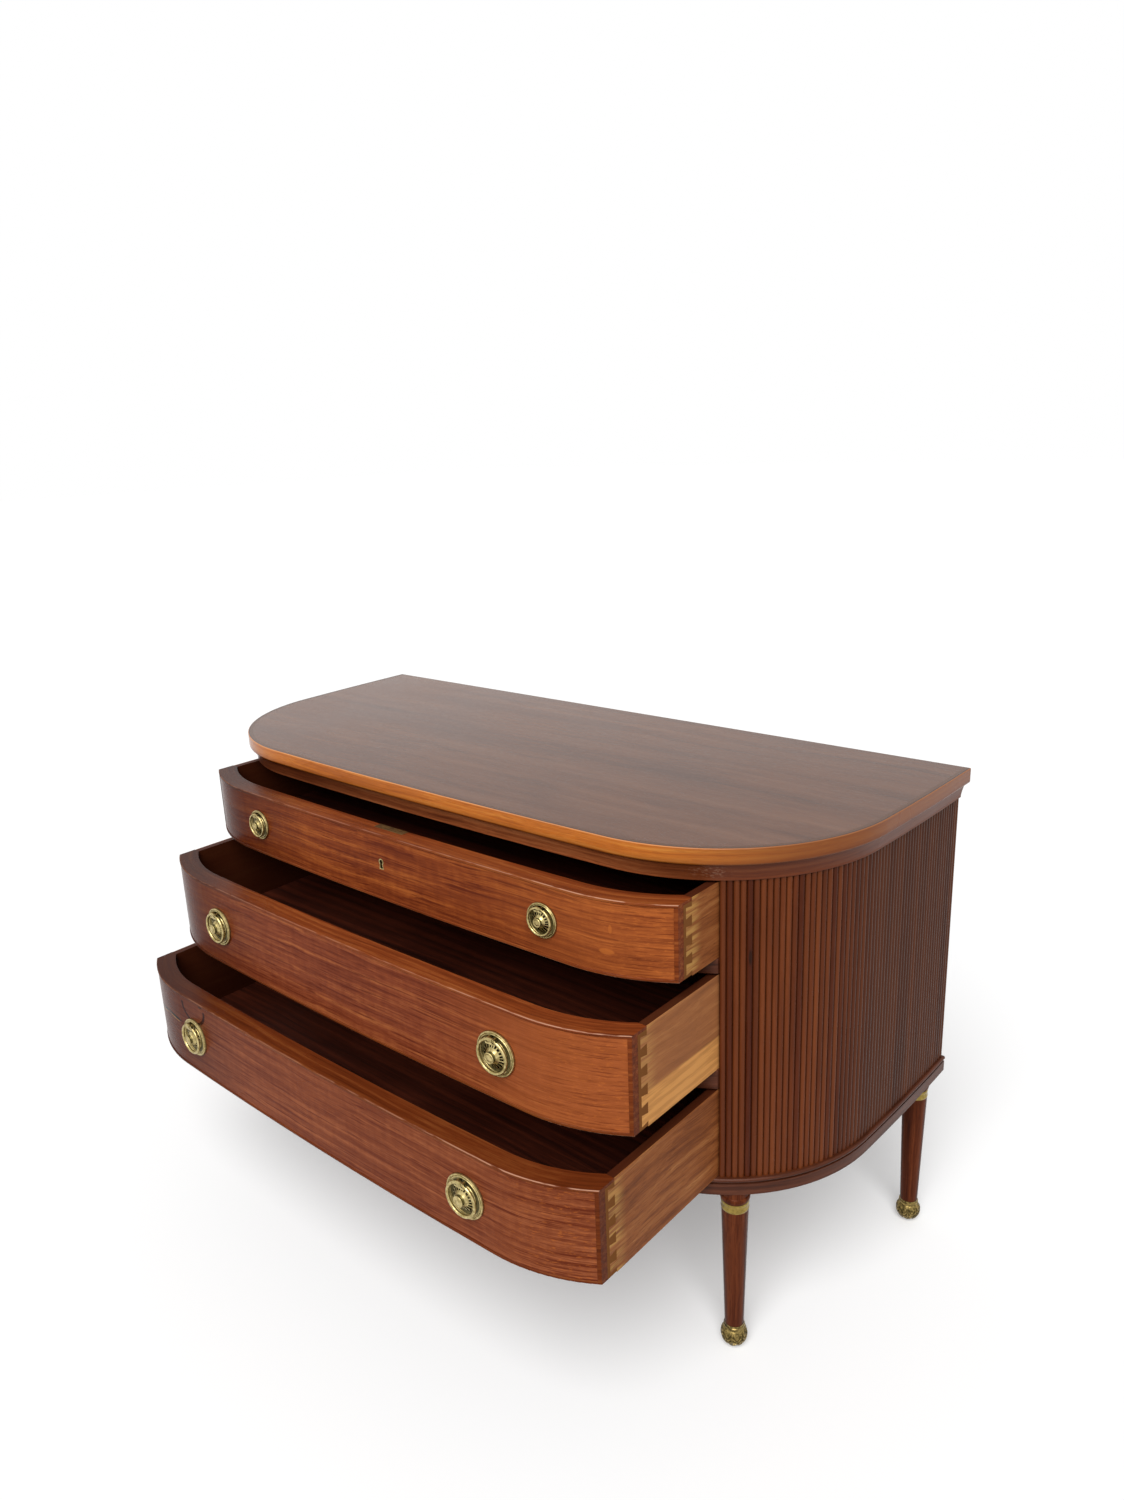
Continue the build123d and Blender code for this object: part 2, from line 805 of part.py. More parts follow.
def link_bridge():
    """Bar below the lugs that joins the two arms of the ring to the barrel."""
    reach = lug_inner_gap + lug_thickness + ring_wire_radius
    high = ring_radius - lug_radius - ring_wire_radius * 0.25
    low = high - ring_wire_radius * 1.1
    rest = hinge_stand_off
    half = ring_wire_radius * 0.75
    bar = block(-reach, reach, low, high, rest - half, rest + half)
    neck = block(-barrel_length / 2, barrel_length / 2, low, ring_radius, rest - half, rest + half)
    return bar + neck


def scaled(solid, scale):
    """The piece at another size, drawn from its own origin."""
    return solid.scale(scale) if scale != 1 else solid


def nut():
    """Square nut behind the front."""
    inner = -(front_thickness - bead_proud + nut_seat_gap)
    half = nut_width / 2
    solid = block(-half, half, -half, half, inner - nut_thickness, inner)
    return solid - pull_stud()


def stud_hole():
    """Hole for a stud through veneer and core."""
    length = 2 * front_thickness
    return Cylinder(stud_radius + stud_clearance, 2 * length)


def lock_middle_y():
    """Plane in the middle of the lock, with the drawer shut."""
    return -top_depth + front_inner_inset + lock_proud - lock_thickness / 2


def lock_box(extra):
    """Outline of the lock in the drawer front."""
    half = lock_width / 2
    front = lock_middle_y() - lock_thickness / 2
    rear = lock_middle_y() + lock_thickness / 2
    return block(-half, half, front, rear, top_high - lock_height, top_high + extra)


def lock_case():
    """Lock body with a channel for the bolt and a hole for the key."""
    half = bolt_width / 2 + bolt_clearance
    reach = bolt_thickness / 2 + bolt_clearance
    middle = lock_middle_y()
    low = top_high - bolt_height - bolt_clearance
    channel = block(-half, half, middle - reach, middle + reach, low, top_high)
    return lock_box(0) - channel - keyhole_cut(0)


def lock_bolt():
    """Bolt that rises out of the top edge of the drawer front."""
    half = bolt_width / 2
    reach = bolt_thickness / 2
    middle = lock_middle_y()
    low = top_high - bolt_height
    return block(-half, half, middle - reach, middle + reach, low, top_high)


def keyhole_cut(rim):
    """Keyhole drawn straight back through the front, widened by the rim."""
    front = -top_depth
    length = case_inset + front_thickness - lock_wall
    centre = Pos(0, front + length / 2, keyhole_height)
    barrel = centre * Rot(90, 0, 0) * Cylinder(keyhole_radius + rim, length)
    foot = keyhole_foot_half_width + rim
    waist = foot * 0.55
    corners = [
        Vector(-waist, front, keyhole_height),
        Vector(waist, front, keyhole_height),
        Vector(foot, front, keyhole_height - keyhole_drop - rim),
        Vector(-foot, front, keyhole_height - keyhole_drop - rim),
    ]
    slot = Solid.extrude(Face(Wire.make_polygon(corners, close=True)), Vector(0, length, 0))
    return barrel + slot


def keyhole_liner():
    """Brass thread let into the front round the keyhole."""
    band = shell(face_inset, face_inset + keyhole_liner_depth, top_low, top_high)
    return (band & keyhole_cut(keyhole_rim)) - keyhole_cut(0)


def set_back(solids, opening):
    """Pieces of one drawer moved out to where the drawer stands at rest."""
    return [Pos(0, -opening, 0) * solid for solid in solids]


def drawer_nodes(name, low, high, opening, count, scale):
    """Every piece of one drawer, at rest."""
    run = low - front_gap_below
    core = front_core(low, high, run, count)
    veneer = face_veneer(low, high)
    beads = cockbead(low, high)
    plates = []
    nuts = []
    rings = []
    middle = (low + high) / 2
    for side in (1, -1):
        place = pull_frame(side, middle)
        core = core - place * stud_hole()
        veneer = veneer - place * stud_hole()
        plates.append(place * (pull_plate(scale) + pull_stud()))
        nuts.append(place * nut())
        rings.append(place * pull_ring(scale))
    made = {}
    if name == "top":
        core = core - lock_box(0) - keyhole_cut(0) - keyhole_liner()
        veneer = veneer - keyhole_cut(0) - keyhole_liner()
        beads[0] = beads[0] - lock_box(0)
        made["lock_case"] = [lock_case()]
        made["lock_bolt"] = [lock_bolt()]
        made["keyhole_liner"] = [keyhole_liner()]
    side_right = drawer_side(low, high, run, count)
    made["front_core_" + name] = [core]
    made["front_veneer_" + name] = [veneer]
    made["cockbead_" + name] = beads
    made["drawer_side_right_" + name] = [side_right]
    made["drawer_side_left_" + name] = [mirrored(side_right)]
    made["drawer_back_" + name] = [drawer_back(run, high, count)]
    made["drawer_bottom_" + name] = [bottom_panel(run)]
    made["pull_plates_" + name] = plates
    made["pull_nuts_" + name] = nuts
    made["pull_ring_right_" + name] = [rings[0]]
    made["pull_ring_left_" + name] = [rings[1]]
    return {node: set_back(solids, opening) for node, solids in made.items()}


def case_nodes():
    """Every piece of the case."""
    front_x, front_y = front_leg_spot()
    back_x, back_y = back_leg_spot()
    spots = [(front_x, front_y), (-front_x, front_y), (back_x, back_y), (-back_x, back_y)]
    made = {}
    made["top_board"] = [plate(lipping_width, top_underside, total_height)]
    made["top_lipping"] = [top_lipping()]
    made["under_top"] = [under_top()]
    for name, solid in (("side_core", side_core()), ("tambour", tambour()), ("guide_board", guide_board())):
        made[name + "_right"] = [solid]
        made[name + "_left"] = [mirrored(solid)]
    made["back_panel"] = [back_panel()]
    made["bottom_board"] = [bottom_board()]
    made["base_moulding_front"] = [base_length(-base_mitre_angle, base_mitre_angle, spots[:2])]
    made["base_moulding_right"] = [base_length(base_mitre_angle, 90, spots[2:3])]
    made["base_moulding_left"] = [base_length(-90, -base_mitre_angle, spots[3:])]
    made["divider_lower"] = [divider(lower_divider_low, lower_divider_high)]
    made["divider_upper"] = [divider(upper_divider_low, upper_divider_high)]
    made["runners"] = runners()
    names = ("leg_front_right", "leg_front_left", "leg_back_right", "leg_back_left")
    for name, (x, y) in zip(names, spots):
        made[name] = [leg(x, y)]
    made["leg_ferrules"] = [ferrule(x, y) for x, y in spots]
    made["ball_feet"] = [ball_foot(x, y) for x, y in spots]
    return made


def whole():
    """All nodes in the case frame: back at y = 0, floor at z = 0."""
    made = case_nodes()
    small_scale = small_plate_radius / large_plate_radius
    made.update(drawer_nodes("top", top_low, top_high, top_opening, small_tail_count, small_scale))
    made.update(drawer_nodes("middle", middle_low, middle_high, middle_opening, tail_count, 1))
    made.update(drawer_nodes("bottom", bottom_low, bottom_high, bottom_opening, tail_count, 1))
    return made


nodes = whole()
boxes = [solid.bounding_box() for solids in nodes.values() for solid in solids]
front_most = min(box.min.Y for box in boxes)
rear_most = max(box.max.Y for box in boxes)
centring = Pos(0, -(front_most + rear_most) / 2, 0)
for node, solids in nodes.items():
    placed = [centring * solid for solid in solids]
    shape = placed[0] if len(placed) == 1 else Compound(children=placed)
    export_step(shape, "parts/" + node + ".step")
print("centring", -(front_most + rear_most) / 2)
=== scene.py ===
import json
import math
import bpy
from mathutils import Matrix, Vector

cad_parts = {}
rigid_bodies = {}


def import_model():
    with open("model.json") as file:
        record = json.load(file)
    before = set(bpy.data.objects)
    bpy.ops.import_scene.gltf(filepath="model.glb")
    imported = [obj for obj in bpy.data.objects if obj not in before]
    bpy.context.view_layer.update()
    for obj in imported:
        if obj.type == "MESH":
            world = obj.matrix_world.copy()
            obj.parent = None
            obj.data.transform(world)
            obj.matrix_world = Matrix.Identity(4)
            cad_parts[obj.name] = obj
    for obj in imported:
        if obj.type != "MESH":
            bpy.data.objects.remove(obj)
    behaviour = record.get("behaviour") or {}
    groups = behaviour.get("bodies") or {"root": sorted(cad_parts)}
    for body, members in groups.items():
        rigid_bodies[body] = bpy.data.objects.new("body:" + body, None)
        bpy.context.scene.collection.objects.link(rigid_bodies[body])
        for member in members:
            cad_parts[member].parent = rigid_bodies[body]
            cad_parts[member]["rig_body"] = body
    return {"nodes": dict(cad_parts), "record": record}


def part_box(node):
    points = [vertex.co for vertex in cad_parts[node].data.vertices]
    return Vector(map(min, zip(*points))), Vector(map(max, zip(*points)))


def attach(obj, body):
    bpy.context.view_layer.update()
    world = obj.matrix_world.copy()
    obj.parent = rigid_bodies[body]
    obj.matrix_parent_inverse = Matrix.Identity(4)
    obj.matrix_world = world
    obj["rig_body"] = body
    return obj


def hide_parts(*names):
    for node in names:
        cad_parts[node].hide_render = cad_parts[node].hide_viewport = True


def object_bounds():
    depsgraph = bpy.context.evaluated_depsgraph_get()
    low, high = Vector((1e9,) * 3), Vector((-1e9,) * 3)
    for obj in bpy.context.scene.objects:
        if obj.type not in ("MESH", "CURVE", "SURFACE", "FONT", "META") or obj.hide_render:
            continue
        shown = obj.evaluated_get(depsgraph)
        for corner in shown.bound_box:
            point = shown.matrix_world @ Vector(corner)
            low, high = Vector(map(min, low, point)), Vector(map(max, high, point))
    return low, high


bl_info = {
    "name": "Demilune Chest of Drawers",
    "version": (1, 0, 0),
    "blender": (4, 5, 0),
    "location": "3D View > Sidebar > Chest",
    "description": "Gives a bow-fronted mahogany chest of drawers its woods, brass and polish",
    "category": "Object",
}

import bpy
from bpy.props import FloatProperty, FloatVectorProperty, IntProperty, PointerProperty
from mathutils import Matrix, Vector

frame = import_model()
bpy.context.view_layer.update()
nodes = frame["nodes"]
slot_of = {row["node"]: row["material_slot"] for row in frame["record"]["subparts"]}
cad_low, cad_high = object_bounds()

# Plan of the bow, in metres: five arcs that meet smoothly, at the outer edge of the top
back_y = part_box("back_panel")[1].y
half_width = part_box("top_lipping")[1].x
bow_depth = back_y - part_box("top_lipping")[0].y
corner_radius = 0.264
front_bow = math.radians(2)
side_bow = math.radians(3)
width_left = half_width - corner_radius * (math.cos(side_bow) - math.sin(front_bow))
depth_left = bow_depth - corner_radius * (math.cos(front_bow) - math.sin(side_bow))
versine_front = 1 - math.cos(front_bow)
versine_side = 1 - math.cos(side_bow)
plan_scale = math.sin(front_bow) * math.sin(side_bow) - versine_front * versine_side
front_radius = (width_left * math.sin(side_bow) - depth_left * versine_side) / plan_scale
side_radius = (depth_left * math.sin(front_bow) - width_left * versine_front) / plan_scale
corner_x = (front_radius - corner_radius) * math.sin(front_bow)
corner_y = front_radius - bow_depth - (front_radius - corner_radius) * math.cos(front_bow)

# Drawer fronts, reeds and pulls
DRAWERS = ("top", "middle", "bottom")
face_inset = 0.014
reed_valley_inset = 0.016
corner_reach = corner_radius - reed_valley_inset
side_reach = side_radius - reed_valley_inset
first_reed = math.asin((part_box("tambour_right")[0].x - corner_x) / corner_reach)
corner_length = corner_reach * (math.pi / 2 - side_bow - first_reed)
reeded_length = corner_length + side_reach * side_bow
reed_pitch = reeded_length / round(reeded_length / 0.0082)
side_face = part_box("drawer_side_right_top")[1].x
pull_offset = 0.296
plate_radius = 0.030
PULL_SCALE = {"top": 23.5 / 30, "middle": 1, "bottom": 1}
skin_depth = 0.0006
merge_distance = 0.0000002

# Tones of the drawer fronts, middle and light, and how far painted light clears them to orange at the right
FRONT_TONES = {
    "top": ("#86401e", "#b2622d"),
    "middle": ("#834025", "#ae6538"),
    "bottom": ("#7f4126", "#a35e3a"),
}
RIGHT_LIGHT_SHARE = {"top": 0.3, "middle": 0.42, "bottom": 0.0}

# Marks of age, placed by the run along the bow and the height, and two of them by their inset too.
# The line below which the middle drawer's sides are paler is a share of their height.
plug_place = (0.393, 0.625)
dash_place = (0.3985, 0.6545)
patch_place = (-0.2945, 0.393)
patch_reach = (0.0315, 0.0255)
stain_place = (-0.272, 0.4015)
CRACKS = (((-0.416, 0.3495), 0.040, 0.23), ((-0.361, 0.3565), 0.028, -0.06))
cornice_chips_place = (0.475, 0.708, 0.009)
reed_chip_place = (0.528, 0.593, 0.0145)
pale_band_line = (0.34, 0.37)

# Viewpoint of the photograph
camera_place = Vector((1.1212, back_y - 1.4644, 1.2146))
camera_turn = (73.673, 2.229, 40.554)
photo_height = 1500
focal_pixels = 1083
sensor_width = 36

# Studio light and floor
sun_slope = math.radians(42)
sun_turn = math.radians(28)
sun_spread = math.radians(45)
sun_strength = 3.0
sky_strength = 0.35
floor_shown = (0.80, 0.80, 0.80, 1)
floor_glow = 0.21

# Turn that lays the grain along each axis, and what fibres and slow drift add to its stripes
GRAIN_TURN = {"X": (0, 0, 0), "Y": (0, 0, -math.pi / 2), "Z": (0, math.pi / 2, 0)}
fibre_share = 0.35
drift_share = 0.3

# Settings that many nodes share
SMOOTH = {"interpolation_type": "SMOOTHSTEP"}
WHITE = (1, 1, 1, 1)

# Backplate, in shares of its radius: radius and height of each turned step, from the back to the button,
# then the petals, whose sunk slots carry painted shade, the channel and the neck, darkened as painted shade,
# and the lugs and pin of the ring
PLATE_STEPS = (
    (1.0, 0.0), (1.0, 0.06), (0.99, 0.098), (0.965, 0.117), (0.935, 0.117), (0.912, 0.098), (0.9, 0.092),
    (0.888, 0.105), (0.865, 0.122), (0.84, 0.112), (0.815, 0.082), (0.79, 0.062), (0.72, 0.052),
    (0.615, 0.055), (0.605, 0.088), (0.585, 0.108), (0.56, 0.112), (0.545, 0.115), (0.36, 0.222),
    (0.30, 0.265), (0.24, 0.32), (0.2, 0.37), (0.195, 0.4), (0.225, 0.43), (0.25, 0.45), (0.252, 0.468),
    (0.235, 0.484), (0.21, 0.486), (0.19, 0.474), (0.165, 0.468), (0.145, 0.476), (0.11, 0.488),
    (0.06, 0.493), (0.02, 0.494))
petal_sides = 5
petal_radii = (0.34, 0.585)
petal_edges = (0.2, 0.8)
petal_inset = 0.004
petal_depth = 0.085
channel_radii = (0.62, 0.8)
neck_radius = 0.24
neck_heights = (0.33, 0.44)
lug_reach = 0.193
lug_wall = 0.063
lug_eye = 0.083
pin_stand_off = 0.2933
pin_height = 0.7467
pin_radius = 0.0417

# Ball foot, in metres: its slopes from the floor up, its collar and the leaves chased on it.
# The widths and heights of a leaf and its veins are shares of the room it has.
leaf_sides = 12
foot_base = 0.0065
foot_radius = 0.0178
foot_belly = 0.0172
foot_top = 0.036
FOOT_SLOPES = [math.radians(-62 + 5.2 * step) for step in range(21)]
FOOT_COLLAR = ((0.0132, 0.0299), (0.0143, 0.0306), (0.0145, 0.0316), (0.0143, 0.0326), (0.0134, 0.0332),
               (0.0133, foot_top), (0.001, foot_top))
leaf_base = 0.003
leaf_height = 0.0255
leaf_span = (0.03, 0.97)
leaf_width = 0.92
leaf_fullness = 0.7
leaf_inset = 0.0003
leaf_relief = 0.0006
vein_span = (0.1, 0.9)
midrib_width = 0.14
vein_slope = 0.3
vein_pitch = 0.24
vein_width = 0.035
vein_inset = 0.0001
vein_relief = -0.0004

# Studs behind the pulls, in metres, and the angles up to which the cast pieces are shaded smooth
stud_length = 0.037
stud_radius = 0.0025
plate_smooth_angle = math.radians(32)
foot_smooth_angle = math.radians(40)
brass_name = "cast_brass_hand_polished"
# The near-black of the petal slots and the darker brass of the channels and necks are painted shade
slot_shade_name = "brass_painted_slot_shade"
shade_brass_name = "cast_brass_painted_shade"


def bend_of(x, y, opening):
    """Distance along the bow from its middle, and depth inside the edge of the top, of a plan point."""
    side = math.copysign(1, x)
    across = abs(x)
    ahead = back_y - y - opening
    front_centre = front_radius - bow_depth
    turn = math.atan2(across, front_centre + ahead)
    if turn <= front_bow:
        return side * front_radius * turn, front_radius - math.hypot(across, front_centre + ahead)
    turn = math.atan2(across - corner_x, corner_y + ahead)
    if turn <= math.pi / 2 - side_bow:
        run = front_radius * front_bow + corner_radius * (turn - front_bow)
        return side * run, corner_radius - math.hypot(across - corner_x, corner_y + ahead)
    centre = half_width - side_radius
    turn = math.atan2(ahead, across - centre)
    run = front_radius * front_bow + corner_radius * (math.pi / 2 - side_bow - front_bow)
    run += side_radius * (side_bow - turn)
    return side * run, side_radius - math.hypot(across - centre, ahead)


def reed_number(x, y):
    """How many reeds a point of the tambour lies from the drawer opening."""
    across = abs(x)
    turn = math.atan2(across - corner_x, corner_y + back_y - y)
    if turn <= math.pi / 2 - side_bow:
        return corner_reach * (turn - first_reed) / reed_pitch
    turn = math.atan2(back_y - y, across - half_width + side_radius)
    return (corner_length + side_reach * (side_bow - turn)) / reed_pitch


def opening_of(drawer):
    """How far a drawer stands open at rest."""
    return back_y - bow_depth + face_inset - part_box("front_veneer_" + drawer)[0].y


def linear(code):
    """Linear colour of an sRGB hex value."""
    channels = [int(code[place:place + 2], 16) / 255 for place in (1, 3, 5)]
    return tuple(c / 12.92 if c <= 0.04045 else ((c + 0.055) / 1.055) ** 2.4 for c in channels) + (1.0,)


def add_node(tree, kind, inputs=(), stops=None, **settings):
    """Adds one node with its settings, its socket values or links and the hex stops of a colour ramp."""
    made = tree.nodes.new("ShaderNode" + kind)
    for name, value in settings.items():
        setattr(made, name, value)
    if not isinstance(inputs, dict):
        inputs = dict(enumerate(inputs))
    for socket, value in inputs.items():
        if isinstance(value, bpy.types.Node):
            value = value.outputs[0]
        if isinstance(value, bpy.types.NodeSocket):
            tree.links.new(value, made.inputs[socket])
        else:
            made.inputs[socket].default_value = value
    if stops:
        elements = made.color_ramp.elements
        while len(elements) < len(stops):
            elements.new(1)
        for element, (place, code) in zip(elements, stops):
            element.position = place
            element.color = linear(code)
    return made


def new_material(name, roughness, specular):
    """New material with its tree and its surface shader."""
    material = bpy.data.materials.new(name)
    material.use_nodes = True
    shader = material.node_tree.nodes["Principled BSDF"]
    shader.inputs["Roughness"].default_value = roughness
    shader.inputs["Specular IOR Level"].default_value = specular
    return material, material.node_tree, shader


def overlap(tree, *masks):
    """Mask that is white only where all of these are."""
    shared = masks[0]
    for mask in masks[1:]:
        shared = add_node(tree, "Math", (shared, mask), operation="MULTIPLY")
    return shared


def paint_over(tree, shader, mask, colour, share=1.0):
    """Lays this share of a colour, a hex value or a node, over the surface where the mask is white."""
    if share != 1.0:
        mask = overlap(tree, mask, share)
    if isinstance(colour, str):
        colour = linear(colour)
    under = shader.inputs["Base Color"].links[0].from_socket
    mix = add_node(tree, "Mix", {0: mask, 6: under, 7: colour}, data_type="RGBA")
    tree.links.new(mix.outputs[2], shader.inputs["Base Color"])


def fade(tree, source, axis, start, full, *tones):
    """Mask along one coordinate of a place: black up to the start, white from where it is full."""
    place = add_node(tree, "SeparateXYZ", (source,)).outputs[axis]
    return add_node(tree, "MapRange", (place, start, full, *tones), **SMOOTH)


def sideways(tree, source, start, full):
    """Mask that turns white toward both sides, by the distance from the middle."""
    place = add_node(tree, "SeparateXYZ", (source,)).outputs["X"]
    distance = add_node(tree, "Math", (place,), operation="ABSOLUTE")
    return add_node(tree, "MapRange", (distance, start, full), **SMOOTH)


def streaks(tree, place, reach, width, detail):
    """Noise drawn out along the grain: its features are this long and this wide, in metres."""
    shares = (1 / reach, 1 / width, 1 / width)
    drawn = add_node(tree, "VectorMath", (place, shares), operation="MULTIPLY")
    links = {"Vector": drawn, "Scale": 1.0, "Detail": detail, "Roughness": 0.6}
    return add_node(tree, "TexNoise", links).outputs["Fac"]


def flecks(tree, place, reach, width, detail, start, full):
    """Mask of the lightest parts of such streaks, from where their noise passes these values."""
    noise = streaks(tree, place, reach, width, detail)
    return add_node(tree, "MapRange", (noise, start, full), **SMOOTH)


def spot(tree, source, centre, reach, turn=0.0, soft=0.3):
    """Mask of an ellipsoid round a place, white inside, with a soft edge."""
    links = {"Vector": source, "Location": centre, "Rotation": (0, 0, turn), "Scale": reach}
    near = add_node(tree, "Mapping", links, vector_type="TEXTURE")
    far = add_node(tree, "VectorMath", (near,), operation="LENGTH").outputs["Value"]
    return add_node(tree, "MapRange", (far, 1.0, 1.0 - soft), **SMOOTH)


def clouded(tree, shader, scale, detail, stops):
    """Colours the surface through a cloudy noise, and gives its source and its value."""
    source = add_node(tree, "TexCoord").outputs["Object"]
    cloud = add_node(tree, "TexNoise", {"Vector": source, "Scale": scale, "Detail": detail}).outputs["Fac"]
    colour = add_node(tree, "ValToRGB", (cloud,), stops=stops).outputs["Color"]
    tree.links.new(colour, shader.inputs["Base Color"])
    return source, cloud


def wood(name, dark, mid, light, along="X", bent=False, seed=0.0, stripe=0.008, reach=0.35, wander=0.006,
         curl=0.0, curl_width=0.012, pores=0.35, spread=0.2, roughness=0.3, specular=0.4, lines=0.0,
         edge=0.0006):
    """Sawn wood under oil or polish: ribbon stripes, curl, fibres and pores along one direction."""
    material, tree, shader = new_material(name, roughness, specular)
    if bent:
        source = add_node(tree, "Attribute", attribute_name="bend").outputs["Vector"]
    else:
        source = add_node(tree, "TexCoord").outputs["Object"]
    shift = (1.7 * seed, 0.9 * seed, 1.3 * seed)
    place = add_node(tree, "Mapping", {"Vector": source, "Rotation": GRAIN_TURN[along], "Location": shift})
    drift = add_node(tree, "TexNoise", {"Vector": place, "Scale": 5.0, "Detail": 2.0}).outputs
    sway = (0, 2 * wander, 2 * wander)
    warped = add_node(tree, "VectorMath", (drift["Color"], sway, place), operation="MULTIPLY_ADD")
    tone = streaks(tree, warped, reach, stripe, 4.0)
    fibres = streaks(tree, warped, 0.05, 0.0014, 2.0)
    ripple = streaks(tree, place, curl_width, 3 * curl_width, 1.0)
    layers = ((fibres, fibre_share), (ripple, curl), (drift["Fac"], drift_share))
    for layer, share in layers:
        tone = add_node(tree, "Math", (layer, share, tone), operation="MULTIPLY_ADD")
    middle = 0.5 * (1 + fibre_share + curl + drift_share)
    tone = add_node(tree, "MapRange", (tone, middle - spread, middle + spread))
    stops = [(0, dark), (0.5, mid), (1, light)]
    colour = add_node(tree, "ValToRGB", (tone,), stops=stops).outputs["Color"]
    tree.links.new(colour, shader.inputs["Base Color"])
    veins = flecks(tree, warped, 0.16, 0.003, 3.0, 0.54, 0.64)
    paint_over(tree, shader, veins, dark, lines)
    pits = flecks(tree, warped, 0.016, 0.0009, 0.0, 0.58, 0.7)
    paint_over(tree, shader, pits, dark, pores)
    gloss = add_node(tree, "MapRange", (drift["Fac"], 0.3, 0.7, roughness - 0.04, roughness + 0.05), **SMOOTH)
    tree.links.new(gloss.outputs["Result"], shader.inputs["Roughness"])
    height = add_node(tree, "Math", (pits, -1.0, fibres), operation="MULTIPLY_ADD")
    soft_edge = add_node(tree, "Bevel", {"Radius": edge}, samples=4)
    links = {"Strength": 0.25, "Distance": 0.0002, "Height": height, "Normal": soft_edge}
    tree.links.new(add_node(tree, "Bump", links).outputs["Normal"], shader.inputs["Normal"])
    return material, tree, shader, source


def select_only(*pieces):
    """Leaves only these pieces selected, the first one active."""
    bpy.ops.object.select_all(action="DESELECT")
    for piece in pieces:
        piece.select_set(True)
    bpy.context.view_layer.objects.active = pieces[0]


def give(piece, *materials):
    """Gives a piece its materials in slot order."""
    piece.data.materials.clear()
    for material in materials:
        piece.data.materials.append(material)


def finish_node(node, material):
    """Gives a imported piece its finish."""
    nodes[node].material_slots[0].material = material


def stand_in(piece, body, slot, *replaced):
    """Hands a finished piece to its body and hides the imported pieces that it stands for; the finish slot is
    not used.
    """
    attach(piece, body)
    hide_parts(*replaced)


def bent_copy(node, material, opening=0.0):
    """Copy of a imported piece, closed up, that carries each point's place along the bow for its grain."""
    source = nodes[node]
    piece = bpy.data.objects.new(node + "_figured", source.data.copy())
    bpy.context.scene.collection.objects.link(piece)
    select_only(piece)
    bpy.ops.object.mode_set(mode="EDIT")
    bpy.ops.mesh.select_all(action="SELECT")
    bpy.ops.mesh.remove_doubles(threshold=merge_distance)
    bpy.ops.object.mode_set(mode="OBJECT")
    normals = piece.modifiers.new("normals", "DATA_TRANSFER")
    normals.object = source
    normals.use_loop_data = True
    normals.data_types_loops = {"CUSTOM_NORMAL"}
    normals.loop_mapping = "TOPOLOGY"
    bpy.ops.object.modifier_apply(modifier=normals.name)
    places = []
    numbers = []
    for vertex in piece.data.vertices:
        run, inset = bend_of(vertex.co.x, vertex.co.y, opening)
        places += [run, vertex.co.z, inset]
        numbers.append(reed_number(vertex.co.x, vertex.co.y))
    piece.data.attributes.new("bend", "FLOAT_VECTOR", "POINT").data.foreach_set("vector", places)
    if node.startswith("tambour"):
        piece.data.attributes.new("reed", "FLOAT", "POINT").data.foreach_set("value", numbers)
    give(piece, material)
    stand_in(piece, source["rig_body"], slot_of[node], node)


def top_veneer():
    """Mahogany veneer, french polished: broad quiet stripes under a deep, slightly hazy gloss."""
    return wood("mahogany_veneer_french_polished", "#4a2b1c", "#653f2a", "#764f38", stripe=0.03, reach=0.9,
                wander=0.02, pores=0.25, spread=0.3, roughness=0.16, specular=0.18)[0]


def lipping_wood():
    """Solid mahogany edge strip, polished: clear orange at the front, darker on top, darker round the sides
    as painted shade, with a pale painted highlight along the top arris.
    """
    material, tree, shader, source = wood(
        "mahogany_edge_strip_polished", "#934914", "#c46e24", "#da8d3b", bent=True, seed=3, stripe=0.006,
        reach=0.3, spread=0.3, roughness=0.24, specular=0.16)
    # Painted shade: darker round the sides of the strip
    aside = sideways(tree, source, 0.34, 0.6)
    paint_over(tree, shader, aside, "#744020", 0.8)
    foot = fade(tree, source, "Y", cad_high.z - 0.012, cad_high.z - 0.022)
    paint_over(tree, shader, foot, "#6a3210", 0.6)
    level = fade(tree, source, "Y", cad_high.z - 2 * skin_depth, cad_high.z - skin_depth)
    flat = overlap(tree, fade(tree, source, "Z", 0.0012, 0.0018), level)
    paint_over(tree, shader, flat, "#5b3a24")
    inset = add_node(tree, "SeparateXYZ", (source,)).outputs["Z"]
    # Painted highlight: a pale line along the top arris, strongest at the front
    corner = add_node(tree, "Math", (inset, 0.0005, 0.0005), operation="COMPARE")
    corner = overlap(tree, corner, fade(tree, source, "Y", cad_high.z - 0.003, cad_high.z))
    pale = add_node(tree, "MapRange", (aside, 0, 1, 0.5, 0.15))
    paint_over(tree, shader, corner, "#e0a878", pale)
    line = add_node(tree, "Math", (inset, 0.0022, 0.0008), operation="COMPARE")
    paint_over(tree, shader, overlap(tree, line, level), "#301609")
    return material


def cornice_wood():
    """Mahogany moulding, polished and worn: dark red-brown, darker round the sides and towards the left as
    painted shade, with pale rubbed chips near the right corner.
    """
    material, tree, shader, source = wood(
        "mahogany_cornice_worn_polish", "#642e19", "#a0572f", "#bb7245", bent=True, seed=5, stripe=0.007,
        spread=0.22, roughness=0.34, specular=0.15)
    # Painted shade round the sides and towards the left end
    paint_over(tree, shader, sideways(tree, source, 0.3, 0.5), "#481b0a", 0.72)
    paint_over(tree, shader, fade(tree, source, "X", 0.15, -0.3), "#451a0b", 0.65)
    rubbed = spot(tree, source, cornice_chips_place, (0.040, 0.012, 0.03), soft=0.8)
    crumbs = flecks(tree, source, 0.004, 0.002, 3.0, 0.53, 0.6)
    paint_over(tree, shader, overlap(tree, rubbed, crumbs), "#a87f66", 0.45)
    return material


